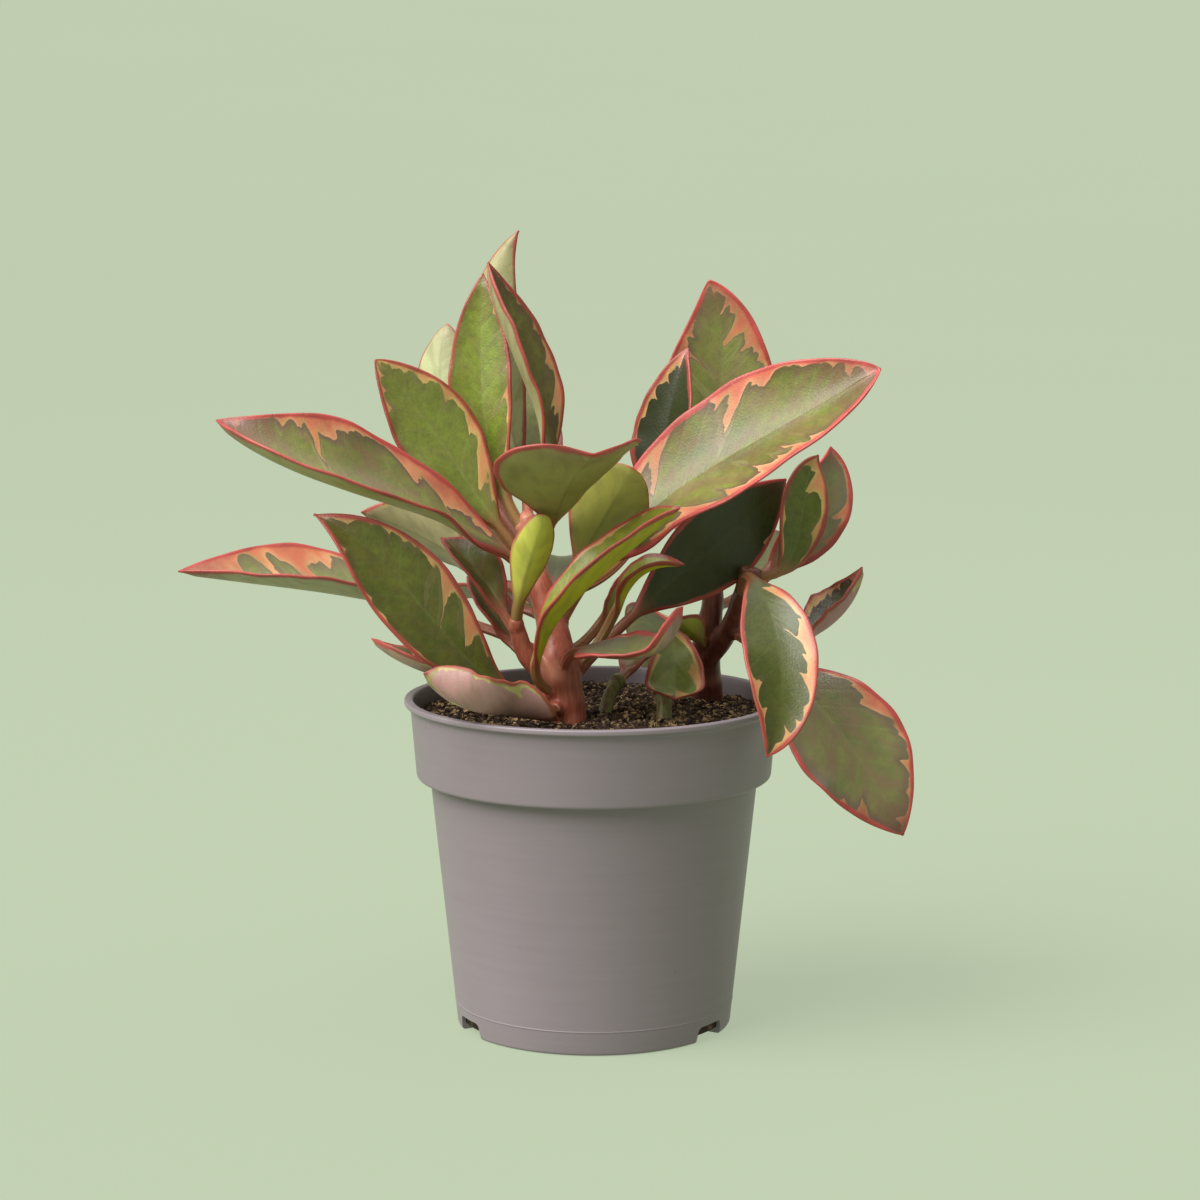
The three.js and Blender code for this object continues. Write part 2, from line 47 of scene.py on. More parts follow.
# The pot
POT_HEIGHT = 105.0
RIM_RADIUS = 60.0
WALL = 1.2
FLOOR = 1.6
LIP_HEIGHT = 1.6
LIP_REACH = 1.9
COLLAR_HEIGHT = 25.0
COLLAR_TAPER = 1.9
STEP_WIDTH = 4.2
FOOT_RADIUS = 43.6
NOTCH_WIDTH = 13.0
NOTCH_HEIGHT = 5.0
NOTCH_DEPTH = 6.0
NOTCH_CORNER = 1.8
NOTCH_COUNT = 3
NOTCH_TURN_DEG = -3.5
PARTING_HEIGHT = 7.7
PARTING_PROUD = 0.16
PARTING_HALF_HEIGHT = 0.3
POT_SIDES = 256

# The soil and the litter on it
CLEARANCE = 0.3
SOIL_DROP = 5.5
SOIL_MOUND = 1.4
SOIL_RELIEF = 0.45
SOIL_SPOKES = 180
SOIL_RINGS = 60
LITTER_RADIUS = 54.0
LITTER_SPOKES = 72
LITTER_RINGS = 24
LITTER_LIFT = 0.25

# Leaves
PETIOLE_HALF_WIDTH = 1.9
PETIOLE_HALF_THICKNESS = 1.6
BLADE_HALF_THICKNESS = 0.9
MARGIN_HALF_THICKNESS = 0.45
TIP_HALF_WIDTH = 0.3
# Over this last share of the blade it thins to the second share of its thickness.
THINNING_SHARE = 0.06
THINNEST = 0.35
MIDRIB_DEPTH = 0.2
MIDRIB_WIDTH = 0.9
# The fold along the midrib is rounded over this share of the half width on each side.
FOLD_ROUNDING = 0.34
# The blade is this share of its solid's width, and its edge wanders in by up to twice the second share, which
# keeps the wavy margin inside the box of the solids.
BLADE_SHARE = 0.97
EDGE_WANDER = 0.028
# The margin's uneven wave is a share of the blade's width, which counts up to this width.
MARGIN_WAVE = 0.026
WAVE_WIDTH = 34.0
# Points lie at these shares of the half width. Rings lie a step apart, and closer towards the tip.
ACROSS = [0.03, 0.07, 0.13, 0.22, 0.33, 0.45, 0.57, 0.68, 0.78, 0.86, 0.92, 0.965, 1.0]
RING_STEP = 1.4
FEWEST_BLADE_RINGS = 26
MOST_BLADE_RINGS = 64
FEWEST_STALK_RINGS = 5
TIP_CROWDING = 1.3

# Markings. Side veins, and the lobes between them, slant from the midrib towards the tip by this slope.
VEIN_SLOPE = 0.9
VEIN_SPACING = 7.0
LOBE_LENGTH = 6.5
STAIN_REACH = 4.5
# Painted light: the pale green that a leaf's colour is mixed towards where it is painted as lit.
PAINTED_LIGHT_GREEN = "#b3b98f"

# Stems
STEM_SIDES = 28
STEM_RINGS = 60
STEM_VOXEL = 0.5
# A stem has a joint swelling wherever the root of a leaf's stalk is this near to it.
STALK_REACH = 4.5
SWELLING_RADII = [2.6, 2.7, 2.6, 2.4, 2.2, 1.9]

# The photo's view, in metres, degrees and millimetres of lens
CAMERA_PLACE = (0.00194, -1.0, 0.2804)
CAMERA_DOWN_DEG = 8.2245
CAMERA_LENS = 96.05
CAMERA_SENSOR = 36.0

# Node kinds and settings that come often. A range takes a value, the two values that it goes from and the
# two that it goes to. A colour mix takes its share at input 0 and its colours at inputs 6 and 7, and gives
# its result at output 2.
MATH = "ShaderNodeMath"
MIX = "ShaderNodeMix"
NOISE = "ShaderNodeTexNoise"
RANGE = "ShaderNodeMapRange"
JOIN = "ShaderNodeCombineXYZ"
SPLIT = "ShaderNodeSeparateXYZ"
COORDINATES = "ShaderNodeTexCoord"
BUMP = "ShaderNodeBump"
RANDOM = "FunctionNodeRandomValue"
BLEND = {"out": 2, "data_type": "RGBA"}
TIMES = {"operation": "MULTIPLY"}
VECTOR = {"data_type": "FLOAT_VECTOR"}

# Each stem is a list of runs. A run has its points, from foot to top, and the radius at each of them.
STEMS = {
    "stem_left": [
        ([(-8, -18, 82), (-8, -18, 100), (-11, -17, 119), (-14, -12, 133), (-18, -8, 146), (-21, -3, 163)],
         [5.8, 6.2, 6.4, 4.6, 4.0, 2.4]),
        ([(-9, -18, 106), (-15, -20, 115), (-21, -21, 122), (-24, -22, 131)], [4.2, 3.4, 3.1, 2.6]),
    ],
    "stem_right": [
        ([(37, 20, 82), (37, 20, 100), (36, 17, 119), (38, 14, 133), (38, 18, 146)],
         [5.0, 5.0, 4.6, 3.6, 3.0]),
        ([(36, 17, 114), (43, 9, 125), (47, 3, 137), (49, 0, 146)], [4.0, 3.4, 3.2, 2.8]),
    ],
    "shoot_front": [([(22, -18, 86), (22, -17, 100), (22, -12, 114), (23, -7, 124)], [2.8, 2.7, 2.2, 1.8])],
    "shoot_middle": [([(3, -9, 86), (3, -8, 98), (5, -5, 106), (8, -2, 111)], [2.6, 2.5, 2.2, 1.9])],
}

# These leaves have the young finish and its slot, and the rest have the grown one.
YOUNG_LEAVES = ("leaf_young_front", "leaf_fan", "leaf_young_middle", "leaf_folded_front", "leaf_bud_right",
                "leaf_hooked", "leaf_slim_middle")

# What a leaf has unless its own entry says otherwise, with the meanings that the part's source gives them.
# band is the width of the cream and salmon border on the left and the right of the rib, in millimetres.
# pink turns that border from cream to salmon, fresh the middle from olive to yellow-green, and bronze is how
# much purple-brown lies over the middle. under is the underside: 0 grey-green, 1 yellow-green, -1 pinkish.
# rim is the width of the coral line round the blade, in millimetres. shade is painted shade and painted
# light: 1 darkens a leaf that lies in the shade of others to nearly black, and -1 pales a leaf that catches
# the light, and one that glows with light from behind, to nearly white.
LEAF_DEFAULTS = {
    "widest": 0.52, "baseTaper": 1.15, "tipTaper": 0.85, "fold": 12, "curl": 18, "lean": 0, "twist": 0,
    "wave": 0, "waves": 1.5, "phase": 0, "band": (1.2, 1.8), "pink": 0.6, "fresh": 0.15, "bronze": 0.5,
    "under": 0.0, "rim": 1.0, "shade": 0.0,
}

LEAVES = {
    # The left crown, seen from the front
    "leaf_left_long": dict(
        rib=[(-17, -9, 141), (-27, -14, 152), (-68, -30, 173), (-115, -26, 195)], face=(0.25, -0.6, 0.7),
        width=43, widest=0.6, tipTaper=0.75, fold=20, curl=34, lean=-14, wave=1, band=(0.6, 6.5), pink=0.85,
        bronze=1.0, under=0.5, rim=1.1, shade=-0.08, fresh=0.3),
    "leaf_left_upper": dict(
        rib=[(-19, -7, 146), (-30, -6, 160), (-49, -3, 187), (-68, -5, 212)], face=(0.25, -0.9, 0.35),
        width=30, tipTaper=0.75, wave=1, band=(1.6, 3.8), pink=0.12, fresh=0.75, bronze=0.25, rim=0.7,
        shade=-0.05),
    "leaf_centre_tall": dict(
        rib=[(-21, -4, 157), (-27, -1, 167), (-35, 8, 202), (-35, 14, 238)], face=(-0.25, -0.95, 0.1),
        width=23, fold=8, curl=16, band=(0.9, 0.8), pink=0.25, fresh=0.9, bronze=0.35, rim=0.6),
    "leaf_centre_dark": dict(
        rib=[(-21, -5, 155), (-14, -2, 176), (-22, 1, 207), (-33, 2, 242)], face=(0.9, -0.36, 0.25),
        width=28, fold=20, curl=32, band=(0.7, 1.5), pink=0.4, fresh=0.05, bronze=0.6, shade=0.15, rim=0.8),
    "leaf_back_tip": dict(
        rib=[(-21, -3, 161), (-23, 12, 178), (-32, 22, 214), (-24, 26, 251)], face=(0.3, 0.9, -0.1),
        width=20, band=(1.2, 1.2), under=0.2, shade=-0.28, rim=0.6),
    "leaf_back_pale": dict(
        rib=[(-20, -6, 152), (-32, 14, 166), (-47, 26, 193), (-47, 32, 221)], face=(0.2, 0.9, 0.2),
        width=28, tipTaper=0.6, band=(1.0, 1.0), under=0.5, shade=-0.72, rim=0.5),
    "leaf_young_front": dict(
        rib=[(-24, -22, 130), (-23, -26, 139), (-19, -31, 154), (-15, -33, 167)], face=(-0.1, 0.9, 0.3),
        width=14, widest=0.6, tipTaper=0.45, band=(0.3, 0.3), fresh=1.0, bronze=0.0, under=1.0, rim=0.35,
        shade=-0.2),
    "leaf_fan": dict(
        rib=[(-19, -7, 149), (-13, -20, 163), (-8, -42, 176), (0, -60, 188)], face=(-0.3, 0.5, 0.85),
        width=53, widest=0.72, baseTaper=1.4, tipTaper=0.35, fold=8, curl=22, band=(1.2, 2.6), pink=0.9,
        fresh=0.25, under=0.5, rim=1.3),
    "leaf_young_middle": dict(
        rib=[(-14, -12, 133), (-5, -18, 150), (4, -20, 166), (12, -20, 180)], face=(-0.1, 0.95, 0.15),
        width=27, widest=0.6, tipTaper=0.5, fold=6, curl=12, band=(0.5, 0.5), fresh=0.2, bronze=0.1,
        under=0.8, rim=0.5),
    "leaf_folded_front": dict(
        rib=[(-9, -18, 108), (-18, -30, 119), (-5, -38, 141), (26, -42, 170)], face=(-0.7, -0.12, 0.62),
        width=27, fold=36, curl=8, band=(3.0, 1.0), pink=0.5, fresh=0.7, bronze=0.1, under=1.0),
    "leaf_left_grey": dict(
        rib=[(-16, -10, 137), (-36, 10, 144), (-56, 22, 154), (-75, 24, 161)], face=(-0.2, 0.8, 0.6),
        width=26, band=(1.0, 1.0)),
    "leaf_left_inner": dict(
        rib=[(-21, -21, 123), (-28, -18, 134), (-37, -12, 146), (-48, -4, 156)], face=(0.3, -0.5, 0.8),
        width=20, fold=25, band=(0.6, 0.6), bronze=0.7),
    "leaf_left_inner_low": dict(
        rib=[(-17, -20, 118), (-25, -15, 124), (-32, -8, 132), (-40, 2, 143)], face=(0.4, -0.5, 0.7),
        width=17, fold=25, band=(0.6, 0.6)),

    # Low leaves on the left
    "leaf_left_broad": dict(
        rib=[(-9, -18, 107), (-27, -26, 112), (-55, -36, 142), (-85, -34, 167)], face=(0.1, -0.9, 0.35),
        width=29, tipTaper=1, fold=8, curl=20, wave=1, band=(0.9, 3.0), pink=0.5, fresh=0.3, bronze=0.3,
        rim=0.7, shade=0.25),
    "leaf_left_far": dict(
        rib=[(-11, -16, 118), (-39, 2, 128), (-87, 8, 137), (-131, 0, 145)], face=(0.1, -0.25, 1), width=34,
        fold=34, curl=12, wave=1, band=(1.0, 6.5), pink=0.8, bronze=0.9, under=0.1, shade=-0.15),
    "leaf_left_tucked": dict(
        rib=[(-8, -18, 106), (-35, -16, 112), (-51, -20, 116), (-69, -16, 126)], face=(0.2, -0.1, 0.95),
        width=20, fold=24, band=(1.5, 2.0), under=-0.6),
    "leaf_over_rim": dict(
        rib=[(-9, -19, 104), (-19, -35, 106), (-36, -50, 109), (-51, -50, 121)], face=(0.15, 0, 1),
        width=29, widest=0.4, baseTaper=0.15, tipTaper=0.35, fold=30, curl=30, lean=-20, band=(4.4, 5.0),
        pink=0.15, fresh=0.3, under=-1.0, rim=0.7, shade=-0.1),

    # The large leaves on the right that the left stem carries
    "leaf_right_large": dict(
        rib=[(-12, -14, 126), (3, -9, 150), (45, -15, 184), (87, -30, 211)], face=(-0.3, -0.85, 0.45),
        width=46, baseTaper=0.8, tipTaper=0.7, lean=14, twist=12, wave=1, band=(5.0, 3.2), pink=1.0,
        bronze=0.7, rim=1.25, fresh=0.25),
    "leaf_right_shaded": dict(
        rib=[(-9, -15, 110), (13, -3, 132), (37, 4, 152), (61, 12, 173)], face=(0.3, -0.95, -0.1), width=30,
        fold=4, curl=10, band=(0.7, 0.7), pink=0.9, fresh=0.2, shade=0.75),
    "leaf_top_right_narrow": dict(
        rib=[(-15, -10, 138), (18, 14, 164), (24, 18, 190), (30, 20, 214)], face=(-0.5, -0.8, 0.2),
        width=24, widest=0.42, band=(3.4, 0.8), pink=0.3, fresh=0.4, shade=0.9),

    # The right crown
    "leaf_top_right": dict(
        rib=[(38, 17, 143), (36, 24, 155), (40, 34, 193), (37, 34, 235)], face=(-0.1, -0.98, 0.1), width=41,
        tipTaper=0.75, fold=6, curl=12, band=(3.4, 5.5), pink=0.85, fresh=0.35, bronze=0.7, widest=0.47,
        shade=-0.1),
    "leaf_right_back": dict(
        rib=[(48, 1, 141), (56, 16, 143), (71, 24, 162), (76, 26, 182)], face=(0.5, -0.8, 0.1), width=25,
        band=(0.8, 2.6), pink=0.95, fresh=0.05, bronze=1.3, shade=-0.22),
    "leaf_right_striped": dict(
        rib=[(49, 0, 144), (58, -1, 145), (65, 4, 161), (71, 8, 181)], face=(0.3, -0.9, 0.2), width=18,
        band=(3.2, 4.4), pink=0.15, fresh=0.6, bronze=0.1, shade=0.35, rim=0.8),
    "leaf_right_hanging": dict(
        rib=[(47, 3, 136), (49, -18, 145), (56, -44, 125), (52, -54, 96)], face=(0.15, -0.95, 0.3),
        width=26, baseTaper=1.3, wave=0.8, band=(3.0, 1.6), pink=0.55, fresh=0.45, bronze=0.2, under=0.4,
        shade=0.6, rim=0.8),
    "leaf_right_low": dict(
        rib=[(43, 9, 125), (57, -7, 117), (76, -23, 98), (96, -27, 66)], face=(0.15, -0.95, 0.25), width=37,
        fold=4, curl=12, wave=1, band=(6.0, 1.4), pink=0.85, fresh=0.1, bronze=1.15, shade=-0.14),
    "leaf_right_pointed": dict(
        rib=[(44, 8, 128), (62, 14, 120), (74, 16, 124), (86, 18, 144)], face=(-0.6, -0.2, 0.75), width=27,
        fold=30, band=(4.2, 3.0), pink=0.3, fresh=0.3, bronze=1.0, under=-1.0, shade=0.6, rim=0.8),
    "leaf_bud_right": dict(
        rib=[(36, 17, 116), (34, 10, 122), (30, 4, 126), (26, 0, 130)], face=(-0.3, 0.6, 0.7), width=12,
        band=(1.4, 0.8), pink=0.3, fresh=0.8, bronze=0.0, under=0.8),

    # Small leaves low in the middle
    "leaf_front_cupped": dict(
        rib=[(-9, -19, 112), (-4, -29, 124), (12, -37, 124), (27, -36, 139)], face=(-0.25, -0.1, 1),
        width=25, widest=0.5, baseTaper=0.5, tipTaper=0.45, fold=10, curl=20, band=(3.0, 3.0), pink=1.0,
        fresh=0.1, bronze=0.9, under=-0.8, rim=2.0, shade=-0.2),
    "leaf_front_small": dict(
        rib=[(23, -8, 121), (24, -12, 128), (25, -20, 120), (25, -28, 109)], face=(0, -0.8, 0.6), width=21,
        widest=0.75, tipTaper=0.45, band=(2.2, 2.2), pink=0.2, fresh=0.45, bronze=0.0, shade=-0.05, rim=0.8),
    "leaf_hooked": dict(
        rib=[(-10, -18, 116), (6, -16, 133), (14, -20, 146), (28, -22, 150)], face=(-0.5, -0.2, 0.8),
        width=13, fold=30, band=(0.6, 0.6), pink=0.3, fresh=0.9, bronze=0.0, under=1.0),
    "leaf_slim_middle": dict(
        rib=[(-11, -16, 121), (2, -4, 129), (8, -1, 138), (14, 2, 147)], face=(-0.7, 0.3, 0.5), width=12,
        band=(0.5, 0.5), fresh=0.6, bronze=0.1, under=0.6),
    "leaf_soil_middle": dict(
        rib=[(7, -3, 110), (10, 2, 112), (14, 8, 115), (20, 14, 118)], face=(-0.4, -0.4, 0.8), width=14,
        band=(0.6, 0.6), fresh=0.2),

    # The back of the plant
    "leaf_rear_left": dict(
        rib=[(-17, -9, 144), (-26, 12, 149), (-46, 44, 168), (-60, 78, 176)], face=(0.1, -0.3, 0.95),
        width=30, band=(2.5, 4.5), pink=0.7),
    "leaf_rear_upper": dict(
        rib=[(-21, -4, 158), (-16, 14, 164), (-26, 40, 190), (-34, 62, 213)], face=(0.1, -0.6, 0.75),
        width=28, band=(2.0, 1.2), pink=0.5, fresh=0.4),
    "leaf_rear_centre": dict(
        rib=[(-16, -10, 139), (-13, 12, 139), (-12, 42, 142), (-12, 76, 134)], face=(0.1, -0.1, 0.95),
        width=30, band=(4.0, 2.2)),
    "leaf_rear_right": dict(
        rib=[(38, 16, 139), (36, 34, 143), (40, 60, 152), (44, 92, 150)], face=(-0.1, -0.1, 0.95), width=32,
        band=(3.0, 5.0), pink=0.8),
    "leaf_rear_far_right": dict(
        rib=[(38, 15, 132), (48, 30, 134), (58, 46, 142), (72, 66, 146)], face=(0, -0.2, 0.95), width=26,
        band=(1.8, 3.0), pink=0.4, fresh=0.3),
    "leaf_rear_drooping": dict(
        rib=[(37, 18, 118), (31, 34, 121), (24, 58, 120), (18, 80, 98)], face=(0.1, 0.3, 0.9), width=28,
        band=(4.0, 1.8)),
    "leaf_rear_low_left": dict(
        rib=[(-13, -13, 128), (-18, 8, 130), (-38, 34, 132), (-56, 58, 122)], face=(0, 0.1, 0.95), width=28,
        band=(2.2, 3.4), pink=0.7),
}


def colour(hex_code):
    """An sRGB hex colour as linear RGBA"""
    channels = [int(hex_code[i:i + 2], 16) / 255 for i in (1, 3, 5)]
    linear = [c / 12.92 if c <= 0.04045 else ((c + 0.055) / 1.055) ** 2.4 for c in channels]
    return (*linear, 1.0)


def fill(tree, node, inputs):
    """Links or sets inputs, given by name or number, or in the node's own order. A text is a hex colour."""
    for key, value in inputs.items() if isinstance(inputs, dict) else enumerate(inputs):
        if isinstance(value, bpy.types.NodeSocket):
            tree.links.new(value, node.inputs[key])
        else:
            node.inputs[key].default_value = colour(value) if isinstance(value, str) else value


def put(tree, kind, inputs=(), out=0, **settings):
    """Adds a node with its settings and links, and gives back the output asked for."""
    node = tree.nodes.new(kind)
    for name, value in settings.items():
        setattr(node, name, value)
    fill(tree, node, inputs)
    return node.outputs[out] if node.outputs else node


def new_material(name):
    material = bpy.data.materials.new(name)
    material.use_nodes = True
    return material, material.node_tree


def finish_material(material, inputs):
    tree = material.node_tree
    fill(tree, tree.nodes["Principled BSDF"], inputs)
    return material


def pot_material():
    """Injection-moulded polypropylene: warm grey, satin, with faint flow marks, fine grain and dust specks"""
    material, tree = new_material("moulded_polypropylene_grey")
    place = put(tree, COORDINATES, out="Object")
    # Flow marks run round the wall and are about 2 mm high and 30 mm long.
    stretched = put(tree, "ShaderNodeMapping", {"Vector": place, "Scale": (33, 33, 500)})
    flow = put(tree, NOISE, {"Vector": stretched, "Scale": 1.0, "Detail": 3.0})
    cloud = put(tree, NOISE, {"Vector": place, "Scale": 24.0, "Detail": 2.0})
    both = put(tree, MATH, (flow, cloud), operation="ADD")
    tint = put(tree, RANGE, (both, 0.7, 1.3))
    grey = put(tree, MIX, {0: tint, 6: "#7b7076", 7: "#7f747a"}, **BLEND)
    # Dust lies in specks of about 0.5 mm, some 12 mm apart.
    near = put(tree, "ShaderNodeTexVoronoi", {"Vector": place, "Scale": 85.0})
    speck = put(tree, RANGE, (near, 0.02, 0.04, 0.35, 0.0))
    dusty = put(tree, MIX, {0: speck, 6: grey, 7: "#5a534f"}, **BLEND)
    rough = put(tree, RANGE, (cloud, 0.0, 1.0, 0.4, 0.54))
    # The mould's grain is finer than the render shows, so it is drawn 0.7 mm coarse.
    grain = put(tree, NOISE, {"Vector": place, "Scale": 1400.0, "Detail": 2.0})
    bump = put(tree, BUMP, {"Height": grain, "Strength": 0.1, "Distance": 0.0002})
    return finish_material(material, {"Base Color": dusty, "Roughness": rough, "IOR": 1.49, "Normal": bump})


def soil_material(name, dark, light, share):
    """Damp peat: nearly black and matt, with tan bark and fibre crumbs of 1 to 2 mm"""
    material, tree = new_material(name)
    place = put(tree, COORDINATES, out="Object")
    cell = put(tree, "ShaderNodeTexVoronoi", {"Vector": place, "Scale": 700.0}, out="Color")
    pick = put(tree, SPLIT, (cell,))
    tan = put(tree, RANGE, (pick, 1.0 - share, 1.0 - share * 0.4))
    body = put(tree, MIX, {0: tan, 6: dark, 7: light}, **BLEND)
    cloud = put(tree, NOISE, {"Vector": place, "Scale": 160.0, "Detail": 3.0})
    shade = put(tree, RANGE, (cloud, 0.3, 0.7, 0.6, 0.0))
    damp = put(tree, MIX, {0: shade, 6: body, 7: "#1d1511"}, **BLEND)
    grit = put(tree, NOISE, {"Vector": place, "Scale": 1800.0, "Detail": 4.0})
    bump = put(tree, BUMP, {"Height": grit, "Strength": 0.6, "Distance": 0.0005})
    return finish_material(material, {"Base Color": damp, "Roughness": 0.92, "IOR": 1.4, "Normal": bump})


def stem_material(name, dark, mid, light):
    """Fleshy stem skin: terracotta or green, or a darker red-brown copy that is painted shade, satin, with
    lengthwise streaks and paler clouds
    """
    material, tree = new_material(name)
    place = put(tree, COORDINATES, out="Object")
    # Streaks are about 0.8 mm wide and 9 mm long.
    stretched = put(tree, "ShaderNodeMapping", {"Vector": place, "Scale": (1200, 1200, 110)})
    streak = put(tree, NOISE, {"Vector": stretched, "Scale": 1.0, "Detail": 2.0})
    cloud = put(tree, NOISE, {"Vector": place, "Scale": 90.0, "Detail": 2.0})
    streaked = put(tree, RANGE, (streak, 0.35, 0.7))
    skin = put(tree, MIX, {0: streaked, 6: dark, 7: mid}, **BLEND)
    clouded = put(tree, RANGE, (cloud, 0.5, 0.75, 0.0, 0.75))
    pale = put(tree, MIX, {0: clouded, 6: skin, 7: light}, **BLEND)
    bump = put(tree, BUMP, {"Height": streak, "Strength": 0.25, "Distance": 0.0003})
    return finish_material(material, {
        "Base Color": pale, "Roughness": 0.38, "IOR": 1.42, "Subsurface Weight": 0.08,
        "Subsurface Scale": 1.0, "Subsurface Radius": (0.003, 0.001, 0.0006), "Normal": bump})


def leaf_patches(skin, along, per_mm, detail):
    """Soft patches on a leaf, with how often they come per millimetre along and across it"""
    lengthwise = put(skin.tree, MATH, (along, per_mm[0]), **TIMES)
    crosswise = put(skin.tree, MATH, (skin.place["Y"], per_mm[1]), **TIMES)
    spot = put(skin.tree, JOIN, (lengthwise, crosswise, skin.band["Z"]))
    return put(skin.tree, NOISE, {"Vector": spot, "Scale": 1.0, "Detail": detail})


def border_width(skin):
    """The width of the cream and salmon border, with rounded green lobes and sharp cream points between"""
    tree = skin.tree
    bend = put(tree, RANGE, (skin.fine, 0.0, 1.0, -2.6, 2.6))
    bent = put(tree, MATH, (skin.place["X"], bend), operation="ADD")
    along = put(tree, MATH, (bent, LOBE_LENGTH), operation="DIVIDE")
    shifted = put(tree, MATH, (along, skin.band["Z"]), operation="ADD")
    lobe = put(tree, "ShaderNodeTexVoronoi", {"W": shifted, "Scale": 1.0, "Randomness": 1.0},
               voronoi_dimensions="1D")
    doubled = put(tree, MATH, (lobe, 1.7), **TIMES)
    cusp = put(tree, MATH, (doubled, 2.2), operation="POWER")
    swell = put(tree, RANGE, (skin.patch, 0.35, 0.65, 0.15, 1.7))
    lobed = put(tree, MATH, (cusp, swell), **TIMES)
    ragged = put(tree, RANGE, (skin.fine, 0.3, 0.7, 0.3, 0.8))
    reach = put(tree, MATH, (lobed, ragged), operation="ADD")
    # Over stretches of about 25 mm the border widens or nearly goes.
    long_patch = leaf_patches(skin, skin.place["X"], (0.045, 0.02), 0.0)
    stretch = put(tree, RANGE, (long_patch, 0.36, 0.64, 0.3, 1.5))
    wide = put(tree, MATH, (skin.band["X"], reach), **TIMES)
    return put(tree, MATH, (wide, stretch), **TIMES)


def leaf_skin(tree):
    """What the leaf's attributes say at each point, and the patterns that several of its colours share"""
    skin = SimpleNamespace(tree=tree)
    # leaf_rim holds the rim's width, then the leaf's painted shade and its painted light.
    for part in ("place", "shape", "band", "tone", "rim"):
        vector = put(tree, "ShaderNodeAttribute", out="Vector", attribute_name="leaf_" + part)
        setattr(skin, part, put(tree, SPLIT, (vector,)).node.outputs)
    skin.object_place = put(tree, COORDINATES, out="Object")
    # Patches of about 12 mm, clouds of about 15 mm, and finer clouds of about 5 mm
    skin.patch = leaf_patches(skin, skin.place["X"], (0.11, 0.05), 1.0)
    skin.cloud = leaf_patches(skin, skin.shape["X"], (0.07, 0.07), 3.0)
    fine_place = put(tree, JOIN, (skin.place["X"], skin.place["Y"], skin.band["Z"]))
    skin.fine = put(tree, NOISE, {"Vector": fine_place, "Scale": 0.2, "Detail": 2.0, "Roughness": 0.4})
    # How far a point lies inward of the border's inner edge
    skin.border = border_width(skin)
    skin.past = put(tree, MATH, (skin.place["Z"], skin.border), operation="SUBTRACT")
    skin.in_border = put(tree, RANGE, (skin.past, -0.15, 0.15, 1.0, 0.0))
    skin.tip = put(tree, RANGE, (skin.shape["Y"], 0.8, 1.0, 0.0, 0.8))
    # Side veins, and the midrib, which fades towards the tip
    swing = put(tree, MATH, (skin.place["X"], VEIN_SPACING / 2), operation="PINGPONG")
    skin.vein = put(tree, RANGE, (swing, 0.0, 0.9, 0.07, 0.0))
    aside = put(tree, MATH, (skin.place["Y"],), operation="ABSOLUTE")
    line = put(tree, RANGE, (aside, 0.1, 0.8, 0.11, 0.0))
    fade = put(tree, RANGE, (skin.shape["Y"], 0.45, 1.0, 1.0, 0.1))
    skin.midrib = put(tree, MATH, (line, fade), **TIMES)
    return skin


def border_colours(skin):
    """The border, salmon by the rim and cream further in, and its patches where the green half shows"""
    tree = skin.tree
    depth = put(tree, MATH, (skin.place["Z"], skin.border), operation="DIVIDE")
    inner = put(tree, RANGE, (depth, 0.3, 0.95))
    outer_tint = put(tree, MIX, {0: skin.band["Y"], 6: "#c68a5c", 7: "#c26850"}, **BLEND)
    inner_tint = put(tree, MIX, {0: skin.band["Y"], 6: "#bda862", 7: "#c68c68"}, **BLEND)
    cream = put(tree, MIX, {0: inner, 6: outer_tint, 7: inner_tint}, **BLEND)
    half_green = put(tree, RANGE, (skin.patch, 0.5, 0.56, 0.0, 0.8))
    tan_share = put(tree, MATH, (half_green, inner), **TIMES)
    tanned = put(tree, MIX, {0: tan_share, 6: cream, 7: "#a1814d"}, **BLEND)
    flushed = put(tree, RANGE, (skin.cloud, 0.42, 0.6, 0.0, 0.45))
    flush_share = put(tree, MATH, (flushed, skin.tone["Y"]), **TIMES)
    return put(tree, MIX, {0: flush_share, 6: tanned, 7: "#7a4638"}, **BLEND), half_green


